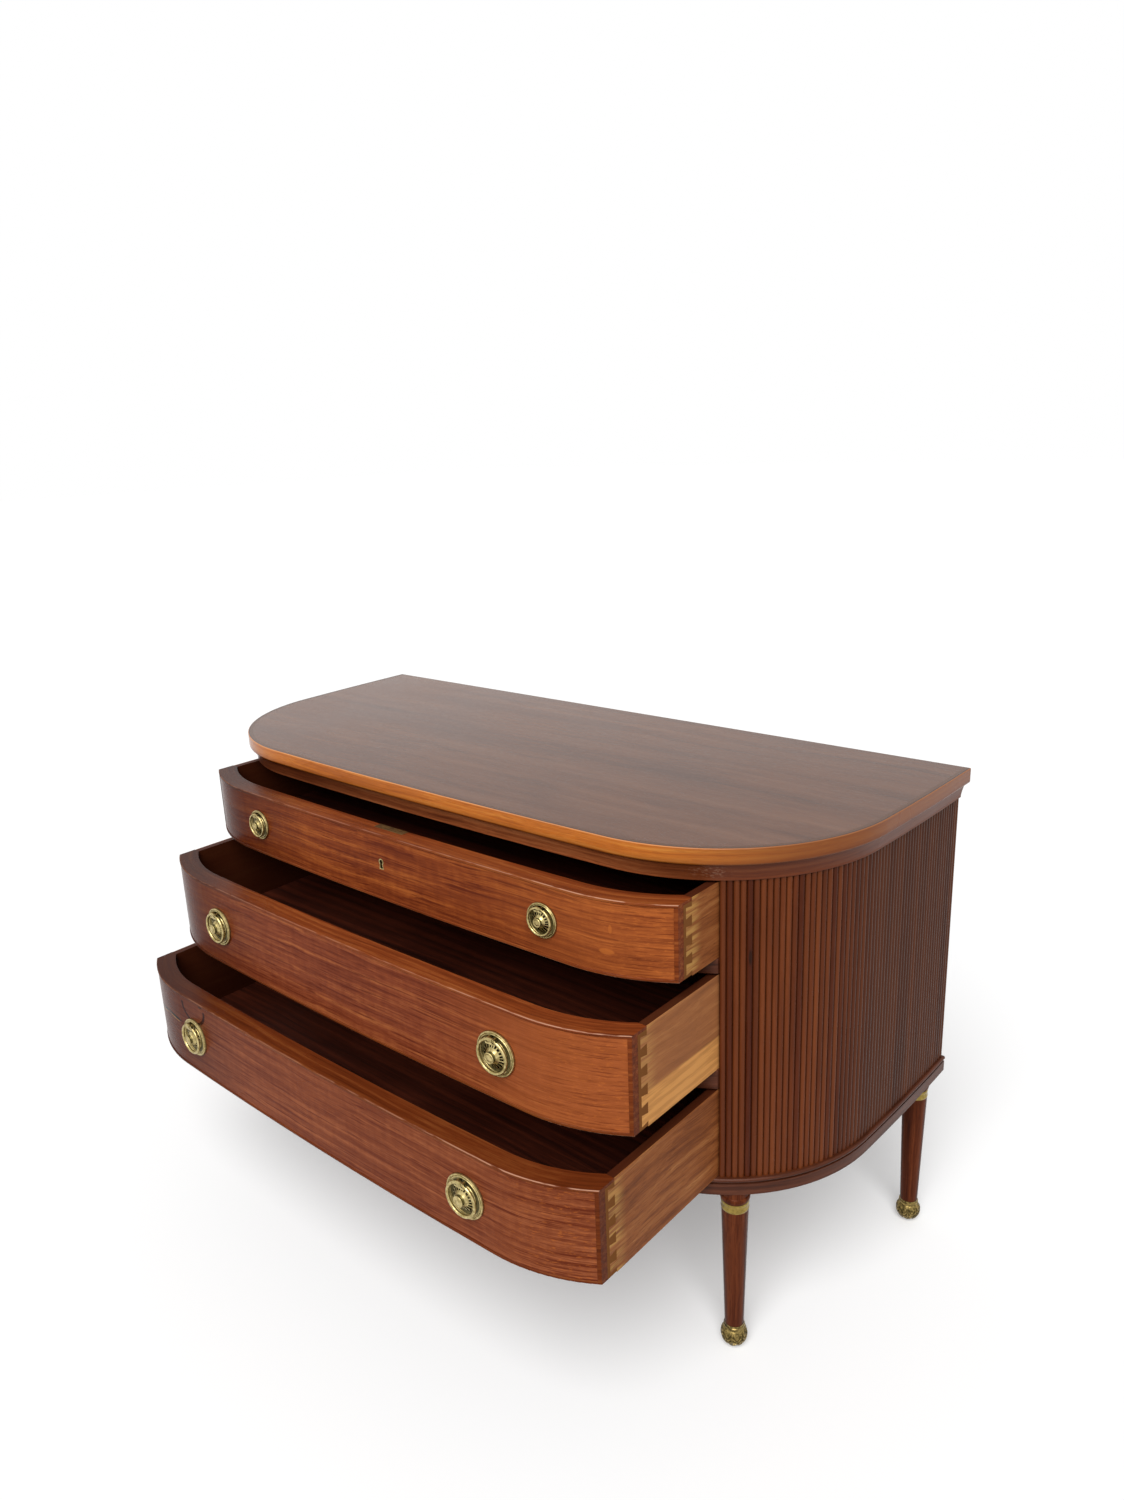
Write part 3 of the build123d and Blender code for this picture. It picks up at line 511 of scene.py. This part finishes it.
def reed_wood():
    """Mahogany reeds, scratch-moulded and polished: each its own tone, with painted shade in the valleys and
    near the drawers, and painted shade greyed as a painted reflection towards the back.
    """
    material, tree, shader, source = wood(
        "mahogany_reeds_polished", "#3f180a", "#5e2b13", "#783f20", along="Z", seed=7, stripe=0.02,
        reach=0.5, wander=0.01, pores=0.2, roughness=0.3, specular=0.1, edge=0.0003)
    reed = add_node(tree, "Attribute", attribute_name="reed").outputs["Fac"]
    bend = add_node(tree, "Attribute", attribute_name="bend").outputs["Vector"]
    number = add_node(tree, "Math", (reed,), operation="FLOOR")
    chance = add_node(tree, "TexWhiteNoise", {"W": number}, noise_dimensions="1D").outputs["Value"]
    own = add_node(tree, "ValToRGB", (chance,), stops=[(0, "#4a1d0a"), (1, "#8a4a24")])
    paint_over(tree, shader, 0.45, own)
    across = add_node(tree, "Math", (reed,), operation="FRACT")
    across = add_node(tree, "Math", (across, 0.5), operation="SUBTRACT")
    across = add_node(tree, "Math", (across,), operation="ABSOLUTE")
    # Painted shade in the valleys between the reeds
    valley = add_node(tree, "MapRange", (across, 0.33, 0.49), **SMOOTH)
    paint_over(tree, shader, valley, "#200c07", 0.55)
    # Painted shade, greyed as a painted reflection, towards the back of the tambour
    paint_over(tree, shader, sideways(tree, bend, 0.58, 0.78), "#3c281f", 0.6)
    # Painted shade on the reeds nearest the drawers
    near_drawers = add_node(tree, "MapRange", (reed, 12.0, 0.0), **SMOOTH)
    paint_over(tree, shader, near_drawers, "#34120a", 0.25)
    chip = spot(tree, bend, reed_chip_place, (0.003, 0.014, 0.01), soft=0.5)
    paint_over(tree, shader, chip, "#231008", 0.8)
    return material


def base_wood():
    """Mahogany base moulding, polished and knocked: darker and browner than the reeds."""
    return wood("mahogany_base_moulding_worn_polish", "#2c130a", "#4c2616", "#613624", bent=True, seed=9,
                stripe=0.006, spread=0.24, roughness=0.36, specular=0.15)[0]


def inner_wood():
    """Red pine carcass, planed and left bare, browned with age."""
    return wood("pine_carcass_planed_bare", "#3a1e12", "#5a3420", "#74492e", along="X", seed=11, stripe=0.012,
                reach=0.8, roughness=0.6, specular=0.2)[0]


def back_wood():
    """Pine back board, planed and left bare: straight pale-brown grain with broad growth bands."""
    return wood("pine_back_planed_bare", "#4f2f1c", "#7a5233", "#96704a", along="X", seed=13, stripe=0.02,
                reach=1.2, wander=0.012, roughness=0.62, specular=0.2)[0]


def leg_wood():
    """Mahogany leg, turned and polished: upright grain, red-brown with darker streaks."""
    return wood("mahogany_leg_turned_polished", "#36150a", "#562713", "#6e381f", along="Z", seed=15,
                stripe=0.006, reach=0.3, spread=0.22, roughness=0.26, specular=0.05)[0]


def front_veneer(drawer, seed, mid, light):
    """Figured mahogany veneer, polished: fine horizontal stripes, with curl and flecks near the ends; painted
    shade darkens the left end and painted light clears the right end to orange.
    """
    material, tree, shader, source = wood(
        "mahogany_front_veneer_polished_" + drawer, "#5c2312", mid, light, bent=True, seed=seed, stripe=0.007,
        reach=0.4, wander=0.007, curl=0.18, curl_width=0.010, spread=0.31, roughness=0.24, specular=0.028,
        lines=0.85)
    ends = sideways(tree, source, 0.30, 0.46)
    bright = flecks(tree, source, 0.011, 0.0028, 3.0, 0.55, 0.64)
    paint_over(tree, shader, overlap(tree, bright, ends), "#bf6a2e", 0.4)
    # Painted shade towards the left end, and painted light that clears the right end to orange
    paint_over(tree, shader, fade(tree, source, "X", -0.12, -0.42), "#3a0f04", 0.78)
    paint_over(tree, shader, fade(tree, source, "X", 0.15, 0.42), "#bf6a35", RIGHT_LIGHT_SHARE[drawer])
    threads = flecks(tree, source, 0.05, 0.0024, 4.0, 0.53, 0.62)
    paint_over(tree, shader, overlap(tree, threads, ends), "#5c2312", 0.55)
    if drawer == "top":
        plug = spot(tree, source, (*plug_place, face_inset), (0.012, 0.0045, 0.01), soft=0.3)
        paint_over(tree, shader, plug, "#c06c30", 0.6)
        dash = spot(tree, source, (*dash_place, face_inset), (0.003, 0.007, 0.01), soft=0.4)
        paint_over(tree, shader, dash, "#c06c30", 0.5)
    if drawer == "bottom":
        old_damage(tree, shader, source)
    return material


def old_damage(tree, shader, source):
    """Shrinkage crack and a let-in patch at the left end of the bottom drawer."""
    for (run, height), reach, turn in CRACKS:
        gap = spot(tree, source, (run, height, face_inset), (reach, 0.0024, 0.01), turn=turn, soft=0.3)
        paint_over(tree, shader, gap, "#070202")
        below = (run, height - 0.0036, face_inset)
        bare = spot(tree, source, below, (reach * 0.8, 0.0012, 0.01), turn=turn)
        paint_over(tree, shader, bare, "#a97f4e", 0.6)
    links = {"Vector": source, "Location": (*patch_place, face_inset), "Scale": (*patch_reach, 0.1)}
    near = add_node(tree, "Mapping", links, vector_type="TEXTURE")
    far = add_node(tree, "VectorMath", (near,), operation="LENGTH").outputs["Value"]
    rim = add_node(tree, "Math", (far, 1.0), operation="SUBTRACT")
    rim = add_node(tree, "Math", (rim,), operation="ABSOLUTE")
    rim = add_node(tree, "MapRange", (rim, 0.12, 0.06), **SMOOTH)
    joint = overlap(tree, rim, fade(tree, near, "Y", 0.15, 0.05))
    paint_over(tree, shader, joint, "#2e0904")
    stain = spot(tree, source, (*stain_place, face_inset), (0.007, 0.0025, 0.01), soft=0.5)
    paint_over(tree, shader, stain, "#1c0803")


def cockbead_wood():
    """Mahogany cockbead, scratch-rounded and polished: red-brown, darker at the left and on the lower beads
    as painted shade, with a pale painted highlight along its outer corners.
    """
    material, tree, shader, source = wood(
        "mahogany_cockbead_polished", "#5c2811", "#7e3b1a", "#9a562a", bent=True, seed=19, stripe=0.006,
        reach=0.4, spread=0.22, roughness=0.25, specular=0.04)
    # Painted shade towards the left end and on the lower beads
    paint_over(tree, shader, fade(tree, source, "X", -0.12, -0.42), "#200904", 0.8)
    paint_over(tree, shader, fade(tree, source, "Y", 0.58, 0.40), "#421804", 0.45)
    # Painted highlight: a pale line along the top and bottom corners of each bead face, broken by noise and
    # stronger to the right
    height = add_node(tree, "SeparateXYZ", (source,)).outputs["Y"]
    corners = 0.0
    for drawer in DRAWERS:
        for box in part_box("cockbead_" + drawer):
            near = add_node(tree, "Math", (height, box.z, 0.0008), operation="COMPARE")
            corners = add_node(tree, "Math", (near, corners), operation="ADD")
    face = fade(tree, source, "Z", face_inset + 0.0007, face_inset)
    aside = fade(tree, source, "X", 0.1, 0.42, 0.2, 0.65)
    worn = flecks(tree, source, 0.03, 0.004, 2.0, 0.35, 0.55)
    paint_over(tree, shader, overlap(tree, corners, face, worn, aside), "#cf9c80")
    return material


def core_wood():
    """Mahogany drawer front, sawn to the bow: dark inside, browner end grain at the dovetails."""
    material, tree, shader, source = wood(
        "mahogany_front_core_oiled", "#2a0e07", "#4a1e10", "#643020", bent=True, seed=21, stripe=0.008,
        roughness=0.5, specular=0.0)
    place = add_node(tree, "TexCoord").outputs["Object"]
    end_grain = sideways(tree, place, side_face - 2 * skin_depth, side_face - skin_depth)
    paint_over(tree, shader, end_grain, "#855630", 0.9)
    return material


def side_wood(drawer, seed):
    """Mahogany drawer side, planed and worn bare: brown streaks outside, dark red inside.

    The front ends are rubbed pale, and the middle side is paler and more golden below a line.
    """
    material, tree, shader, source = wood(
        "mahogany_drawer_side_worn_" + drawer, "#5f3018", "#93562d", "#b87c48", along="Y", seed=seed,
        stripe=0.012, reach=0.3, wander=0.012, spread=0.26, pores=0.4, roughness=0.5, specular=0.08)
    low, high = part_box("drawer_side_right_" + drawer)
    outside = sideways(tree, source, side_face - 2 * skin_depth, side_face - skin_depth)
    inside = add_node(tree, "Math", (1.0, outside), operation="SUBTRACT")
    paint_over(tree, shader, inside, "#3f190c", 0.95)
    lengthwise = add_node(tree, "Mapping", {"Vector": source, "Rotation": GRAIN_TURN["Y"]})
    worn = flecks(tree, lengthwise, 0.09, 0.006, 3.0, 0.38, 0.62)
    front_end = fade(tree, source, "Y", low.y + 0.035, low.y + 0.012)
    paint_over(tree, shader, overlap(tree, worn, front_end, outside), "#cf9f58", 0.7)
    if drawer == "middle":
        line, clear = [low.z + share * (high.z - low.z) for share in pale_band_line]
        band = fade(tree, source, "Z", line, clear)
        paint_over(tree, shader, overlap(tree, band, outside), "#b47a50", 0.4)
        below = add_node(tree, "Math", (outside, band), operation="SUBTRACT")
        patchy = add_node(tree, "MapRange", (worn, 0, 1, 0.6, 0.9), **SMOOTH)
        paint_over(tree, shader, overlap(tree, below, patchy), "#e6a55e")
    return material


def drawer_bottom_wood():
    """Cedar drawer bottom, planed: dark red-brown boards with long stripes parallel to the front."""
    return wood("cedar_drawer_bottom_planed", "#230c06", "#431a0e", "#5d2817", along="X", seed=27,
                stripe=0.01, reach=0.6, spread=0.2, roughness=0.55, specular=0.2)[0]


def brass(name, bright, dull, tarnish, roughness, tarnish_and_shade_share):
    """Cast brass, polished by hand: bright high places, green-brown tarnish and painted shade in every
    hollow.
    """
    material, tree, shader = new_material(name, roughness, 0.5)
    shader.inputs["Metallic"].default_value = 1.0
    source, cloud = clouded(tree, shader, 260.0, 4.0, [(0.35, dull), (0.65, bright)])
    # Tarnish and painted shade: darker wherever ambient occlusion finds a hollow
    open_sky = add_node(tree, "AmbientOcclusion", {"Distance": 0.004}, samples=8).outputs["AO"]
    hollow = add_node(tree, "MapRange", (open_sky, 0.85, 0.35), **SMOOTH)
    paint_over(tree, shader, hollow, tarnish, tarnish_and_shade_share)
    gloss = add_node(tree, "MapRange", (cloud, 0.3, 0.7, roughness + 0.12, roughness), **SMOOTH)
    tree.links.new(gloss.outputs["Result"], shader.inputs["Roughness"])
    fine = add_node(tree, "TexNoise", {"Vector": source, "Scale": 900.0, "Detail": 3.0}).outputs["Fac"]
    relief = add_node(tree, "Bump", {"Strength": 0.2, "Distance": 0.0002, "Height": fine})
    tree.links.new(relief.outputs["Normal"], shader.inputs["Normal"])
    return material


def lock_iron():
    """Wrought iron lock, filed and oiled: browned all over by old oil."""
    material, tree, shader = new_material("wrought_iron_filed", 0.45, 0.5)
    shader.inputs["Metallic"].default_value = 1.0
    clouded(tree, shader, 120.0, 5.0, [(0.4, "#5c4526"), (0.6, "#7a6136")])
    return material


def painted_slot_shade():
    """Painted shade in the pierced petal slots: matt black-brown."""
    material, tree, shader = new_material(slot_shade_name, 0.8, 0.2)
    clouded(tree, shader, 700.0, 3.0, [(0.4, "#070502"), (0.7, "#1c160a")])
    return material


def rise_through(profile):
    """Extrudes the selected disc up through the radius and height steps of a turned profile."""
    for (radius, height), (next_radius, next_height) in zip(profile, profile[1:]):
        lift = {"value": (0, 0, next_height - height)}
        bpy.ops.mesh.extrude_region_move(TRANSFORM_OT_translate=lift)
        share = next_radius / radius
        bpy.ops.transform.resize(value=(share, share, 1), center_override=(0, 0, next_height))


def select_faces(piece, wanted):
    """Selects in edit mode only the faces whose centre passes the test."""
    bpy.ops.mesh.select_all(action="DESELECT")
    bpy.ops.object.mode_set(mode="OBJECT")
    for face in piece.data.polygons:
        face.select = wanted(face.center, face.normal)
    bpy.ops.object.mode_set(mode="EDIT")
    bpy.ops.mesh.select_mode(type="FACE")


def polar(place):
    """Radius and turn, from 0 to 360 degrees, of a place round the Z axis."""
    return math.hypot(place.x, place.y), math.degrees(math.atan2(place.y, place.x)) % 360


def pull_plate(look):
    """Cast backplate at the origin, facing up: rim, channel, pierced petals, trumpet stem and button, with
    painted shade in the channel, the petal slots and under the button.
    """
    outer = look.plate_radius
    bpy.ops.mesh.primitive_circle_add(vertices=petal_sides * look.petal_count, radius=outer, fill_type="NGON")
    plate = bpy.context.object
    bpy.ops.object.mode_set(mode="EDIT")
    rise_through([(radius * outer, height * outer) for radius, height in PLATE_STEPS])
    step = 360 / look.petal_count

    def is_petal(centre, normal):
        radius, turn = polar(centre)
        between = petal_edges[0] < (turn % step) / step < petal_edges[1]
        return petal_radii[0] * outer < radius < petal_radii[1] * outer and between

    def is_hollow(centre, normal):
        radius, turn = polar(centre)
        on_neck = neck_heights[0] * outer < centre.z < neck_heights[1] * outer
        under_button = radius < neck_radius * outer and on_neck
        return channel_radii[0] * outer < radius < channel_radii[1] * outer or under_button

    for name in (brass_name, slot_shade_name, shade_brass_name):
        plate.data.materials.append(bpy.data.materials[name])
    # The channel and the neck get a darker brass as painted shade
    select_faces(plate, is_hollow)
    plate.active_material_index = 2
    bpy.ops.object.material_slot_assign()
    # The petal slots are sunk and get the near-black painted shade
    select_faces(plate, is_petal)
    bpy.ops.mesh.inset(thickness=petal_inset * outer)
    bpy.ops.transform.translate(value=(0, 0, -petal_depth * outer))
    plate.active_material_index = 1
    bpy.ops.object.material_slot_assign()
    bpy.ops.mesh.select_all(action="SELECT")
    bpy.ops.mesh.normals_make_consistent(inside=False)
    bpy.ops.object.mode_set(mode="OBJECT")
    return plate


def hinge_lugs(look):
    """Two ears and the pin that carry the ring, at the origin, facing up."""
    reach = lug_reach * look.plate_radius
    wall = lug_wall * look.plate_radius
    eye = lug_eye * look.plate_radius
    stand_off = pin_stand_off * look.plate_radius
    height_on_plate = pin_height * look.plate_radius
    pieces = []
    for side in (1, -1):
        tall = stand_off + eye
        middle = (side * (reach - wall / 2), height_on_plate, tall / 2)
        bpy.ops.mesh.primitive_cube_add(size=1, location=middle, scale=(wall, 2 * eye, tall))
        ear = bpy.context.object
        bpy.ops.object.transform_apply(location=True, rotation=True, scale=True)
        bpy.ops.object.mode_set(mode="EDIT")
        bpy.ops.mesh.select_all(action="DESELECT")
        bpy.ops.mesh.select_mode(type="EDGE")
        bpy.ops.object.mode_set(mode="OBJECT")
        for line in ear.data.edges:
            ends = [ear.data.vertices[index].co for index in line.vertices]
            line.select = min(end.z for end in ends) > tall * 0.9 and abs(ends[0].x - ends[1].x) > wall / 2
        bpy.ops.object.mode_set(mode="EDIT")
        bpy.ops.mesh.bevel(offset=eye * 0.95, segments=6)
        bpy.ops.object.mode_set(mode="OBJECT")
        pieces.append(ear)
    bpy.ops.mesh.primitive_cylinder_add(
        vertices=24, radius=pin_radius * look.plate_radius, depth=2.1 * reach,
        location=(0, height_on_plate, stand_off), rotation=(0, math.pi / 2, 0))
    pin = bpy.context.object
    bpy.ops.object.mode_set(mode="EDIT")
    select_faces(pin, lambda centre, normal: abs(normal.z) > 0.9)
    bpy.ops.mesh.inset(thickness=0.01 * look.plate_radius, depth=0.008 * look.plate_radius)
    bpy.ops.object.mode_set(mode="OBJECT")
    bpy.ops.object.transform_apply(location=True, rotation=True, scale=True)
    return pieces + [pin]


def stud(scale):
    """Threaded stud behind a plate, through the drawer front and its nut, at the origin."""
    length = stud_length / scale
    bpy.ops.mesh.primitive_cylinder_add(vertices=24, radius=stud_radius / scale, depth=length,
                                        location=(0, 0, -length / 2))
    piece = bpy.context.object
    bpy.ops.object.mode_set(mode="EDIT")
    select_faces(piece, lambda centre, normal: normal.z < -0.9)
    bpy.ops.mesh.inset(thickness=0.0004)
    bpy.ops.transform.translate(value=(0, 0, -0.0003))
    bpy.ops.object.mode_set(mode="OBJECT")
    bpy.ops.object.transform_apply(location=True, rotation=True, scale=True)
    return piece


def ball_foot(look):
    """Cast ball foot at the origin: leaves chased round the ball, a plain bead and a collar for the leg."""
    profile = [(foot_base, 0.0)]
    for slope in FOOT_SLOPES:
        profile.append((foot_radius * math.cos(slope), foot_belly + foot_radius * math.sin(slope)))
    profile += FOOT_COLLAR
    sides = leaf_sides * look.leaf_count
    bpy.ops.mesh.primitive_circle_add(vertices=sides, radius=foot_base, fill_type="NGON")
    foot = bpy.context.object
    bpy.ops.object.mode_set(mode="EDIT")
    rise_through(profile)
    step = 360 / look.leaf_count

    def leaf_place(centre):
        radius, turn = polar(centre)
        return abs((turn % step) / step - 0.5) * 2, (centre.z - leaf_base) / leaf_height

    def is_leaf(centre, normal):
        aside, up = leaf_place(centre)
        edge = leaf_width * math.sin(math.pi * up ** leaf_fullness) if up > 0 else 0
        return leaf_span[0] < up < leaf_span[1] and aside < edge and not is_vein(centre, normal)

    def is_vein(centre, normal):
        aside, up = leaf_place(centre)
        from_vein = abs((up + vein_slope * aside) % vein_pitch - vein_pitch / 2)
        return vein_span[0] < up < vein_span[1] and (aside < midrib_width or from_vein < vein_width)

    select_faces(foot, is_leaf)
    bpy.ops.mesh.inset(thickness=leaf_inset, depth=leaf_relief)
    select_faces(foot, is_vein)
    bpy.ops.mesh.inset(thickness=vein_inset, depth=vein_relief)
    bpy.ops.mesh.select_all(action="SELECT")
    bpy.ops.mesh.normals_make_consistent(inside=False)
    bpy.ops.object.mode_set(mode="OBJECT")
    return foot


def pull_place(drawer, side):
    """Matrix that stands a pull on its drawer front, square to the bow."""
    low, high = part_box("front_veneer_" + drawer)
    turn = side * math.asin(pull_offset / (front_radius - face_inset))
    reach = front_radius - face_inset
    x = reach * math.sin(turn)
    y = back_y + front_radius - bow_depth - reach * math.cos(turn) - opening_of(drawer)
    upright = Matrix.Rotation(turn, 4, "Z") @ Matrix.Rotation(math.pi / 2, 4, "X")
    return Matrix.Translation((x, y, (low.z + high.z) / 2)) @ upright @ Matrix.Scale(PULL_SCALE[drawer], 4)


class ChestLook(bpy.types.PropertyGroup):
    """Sizes and colours that a user may change before the pieces are made."""

    plate_radius: FloatProperty(name="Plate radius", description="Radius of a large backplate",
                                default=plate_radius, min=0.01, unit="LENGTH")
    petal_count: IntProperty(name="Petals", description="Pierced petals round the dome", default=18, min=6)
    leaf_count: IntProperty(name="Foot leaves", description="Chased leaves round a ball foot", default=8,
                            min=3)
    floor_colour: FloatVectorProperty(name="Floor", description="Colour of the studio floor", subtype="COLOR",
                                      size=4, default=linear("#bcbcbc"))


class CHEST_OT_case(bpy.types.Operator):
    """Finish the top, the reeded sides, the mouldings and the hidden carcass"""

    bl_idname = "chest.case"
    bl_label = "Case"

    def execute(self, context):
        finish_node("top_board", top_veneer())
        bent_copy("top_lipping", lipping_wood())
        bent_copy("under_top", cornice_wood())
        reeds = reed_wood()
        base = base_wood()
        for side in ("right", "left"):
            bent_copy("tambour_" + side, reeds)
        for part in ("front", "right", "left"):
            bent_copy("base_moulding_" + part, base)
        inner = inner_wood()
        for node in ("side_core_right", "side_core_left", "guide_board_right", "guide_board_left",
                     "bottom_board", "runners"):
            finish_node(node, inner)
        finish_node("back_panel", back_wood())
        for level in ("lower", "upper"):
            bent_copy("divider_" + level, base)
        return {"FINISHED"}


class CHEST_OT_drawers(bpy.types.Operator):
    """Finish the three drawers: figured fronts, beads, worn sides and dark bottoms"""

    bl_idname = "chest.drawers"
    bl_label = "Drawers"

    def execute(self, context):
        bead = cockbead_wood()
        core = core_wood()
        bottom = drawer_bottom_wood()
        for count, drawer in enumerate(DRAWERS):
            opening = opening_of(drawer)
            veneer = front_veneer(drawer, 30 + 4 * count, *FRONT_TONES[drawer])
            bent_copy("front_veneer_" + drawer, veneer, opening)
            bent_copy("cockbead_" + drawer, bead, opening)
            bent_copy("front_core_" + drawer, core, opening)
            side = side_wood(drawer, 50 + 3 * count)
            for node in ("drawer_side_right_", "drawer_side_left_", "drawer_back_"):
                finish_node(node + drawer, side)
            finish_node("drawer_bottom_" + drawer, bottom)
        iron = lock_iron()
        finish_node("lock_case", iron)
        finish_node("lock_bolt", iron)
        return {"FINISHED"}


class CHEST_OT_pulls(bpy.types.Operator):
    """Model the cast backplates and finish the rings and the keyhole"""

    bl_idname = "chest.pulls"
    bl_label = "Ring Pulls"

    def execute(self, context):
        look = context.scene.chest_look
        polished = brass(brass_name, "#cdbb84", "#988755", "#1a160b", 0.3, 0.95)
        # Darker brass, the painted shade of the channels and necks
        brass(shade_brass_name, "#6b6038", "#453c20", "#0d0b05", 0.4, 0.9)
        painted_slot_shade()
        for drawer in DRAWERS:
            for word, side in (("right", 1), ("left", -1)):
                plate = pull_plate(look)
                parts = hinge_lugs(look) + [stud(PULL_SCALE[drawer])]
                for part in parts:
                    give(part, polished)
                select_only(plate, *parts)
                bpy.ops.object.join()
                plate = bpy.context.object
                plate.name = "pull_plate_" + word + "_" + drawer
                plate.data.transform(pull_place(drawer, side))
                bpy.ops.object.shade_smooth_by_angle(angle=plate_smooth_angle)
                stand_in(plate, "drawer_" + drawer, "pull_brass", "pull_plates_" + drawer)
                finish_node("pull_ring_" + word + "_" + drawer, polished)
            finish_node("pull_nuts_" + drawer, polished)
        finish_node("keyhole_liner", polished)
        return {"FINISHED"}


class CHEST_OT_legs(bpy.types.Operator):
    """Finish the turned legs and their collars and model the chased ball feet"""

    bl_idname = "chest.legs"
    bl_label = "Legs and Feet"

    def execute(self, context):
        timber = leg_wood()
        for end in ("front", "back"):
            for side in ("right", "left"):
                finish_node("leg_" + end + "_" + side, timber)
        patinated = brass("cast_brass_patinated", "#a38c55", "#514526", "#171208", 0.22, 0.95)
        collar = brass("turned_brass_collar_polished", "#9c8544", "#84703a", "#1c170c", 0.2, 0.9)
        finish_node("leg_ferrules", collar)
        for end in ("front", "back"):
            for side in ("right", "left"):
                low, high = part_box("leg_" + end + "_" + side)
                foot = ball_foot(context.scene.chest_look)
                foot.name = "foot_" + end + "_" + side
                give(foot, patinated)
                foot.data.transform(Matrix.Translation(((low.x + high.x) / 2, (low.y + high.y) / 2, 0)))
                bpy.ops.object.shade_smooth_by_angle(angle=foot_smooth_angle)
                stand_in(foot, "case", "leg_brass", "ball_feet")
        return {"FINISHED"}


class CHEST_OT_stage(bpy.types.Operator):
    """Make the pale floor, the soft light and the camera of the photograph"""

    bl_idname = "chest.stage"
    bl_label = "Stage"

    def execute(self, context):
        scene = context.scene
        bpy.ops.mesh.primitive_plane_add(size=60)
        floor = context.object
        floor.name = "floor"
        give(floor, floor_material(scene.chest_look.floor_colour))
        scene.world = world_light()
        bpy.ops.object.light_add(type="SUN", rotation=(sun_slope, 0, sun_turn))
        sun = context.object
        sun.data.energy = sun_strength
        sun.data.angle = sun_spread
        turn = [math.radians(angle) for angle in camera_turn]
        bpy.ops.object.camera_add(location=camera_place, rotation=turn)
        camera = context.object
        camera.data.sensor_width = sensor_width
        camera.data.lens = sensor_width * focal_pixels / photo_height
        scene.camera = camera
        scene.view_settings.view_transform = "Standard"
        return {"FINISHED"}


def seen_directly(tree):
    """White for camera, glossy and transmission rays, black for the light that bounces."""
    path = add_node(tree, "LightPath").outputs
    seen = add_node(tree, "Math", (path["Is Camera Ray"], path["Is Glossy Ray"]), operation="ADD")
    seen = add_node(tree, "Math", (seen, path["Is Transmission Ray"]), operation="ADD")
    return add_node(tree, "Math", (seen, 1.0), operation="MINIMUM")


def floor_material(colour):
    """Painted studio floor, matt: it shows nearly white and keeps the soft shadow."""
    material, tree, shader = new_material("painted_floor_matt", 0.9, 0.0)
    shader.inputs["Base Color"].default_value = colour
    shown = add_node(tree, "BsdfDiffuse", {"Color": floor_shown})
    glow = add_node(tree, "Emission", {"Color": WHITE, "Strength": floor_glow})
    lit = add_node(tree, "AddShader", (shown, glow))
    mix = add_node(tree, "MixShader", (seen_directly(tree), shader, lit))
    tree.links.new(mix.outputs[0], tree.nodes["Material Output"].inputs["Surface"])
    return material


def world_light():
    """Plain soft sky that looks white."""
    world = bpy.data.worlds.new("soft_studio")
    world.use_nodes = True
    tree = world.node_tree
    ambient = add_node(tree, "Background", {"Color": WHITE, "Strength": sky_strength})
    white = add_node(tree, "Background", {"Color": WHITE, "Strength": 1.0})
    mix = add_node(tree, "MixShader", (seen_directly(tree), ambient, white))
    tree.links.new(mix.outputs[0], tree.nodes["World Output"].inputs["Surface"])
    return world


class CHEST_PT_sidebar(bpy.types.Panel):
    """Steps that dress the chest, in order"""

    bl_idname = "CHEST_PT_sidebar"
    bl_label = "Chest of Drawers"
    bl_space_type = "VIEW_3D"
    bl_region_type = "UI"
    bl_category = "Chest"

    def draw(self, context):
        for name in ChestLook.__annotations__:
            self.layout.prop(context.scene.chest_look, name)
        for step in STEPS:
            self.layout.operator(step.bl_idname)


STEPS = (CHEST_OT_case, CHEST_OT_drawers, CHEST_OT_pulls, CHEST_OT_legs, CHEST_OT_stage)


def register():
    """Registers the classes and the look of the scene."""
    for item in (ChestLook, *STEPS, CHEST_PT_sidebar):
        bpy.utils.register_class(item)
    bpy.types.Scene.chest_look = PointerProperty(type=ChestLook)


def unregister():
    """Takes the classes out again."""
    del bpy.types.Scene.chest_look
    for item in reversed((ChestLook, *STEPS, CHEST_PT_sidebar)):
        bpy.utils.unregister_class(item)


def main():
    """Dresses the chest step by step."""
    register()
    bpy.ops.chest.case()
    bpy.ops.chest.drawers()
    bpy.ops.chest.pulls()
    bpy.ops.chest.legs()
    bpy.ops.chest.stage()
    bpy.context.view_layer.update()


if __name__ == "__main__":
    main()
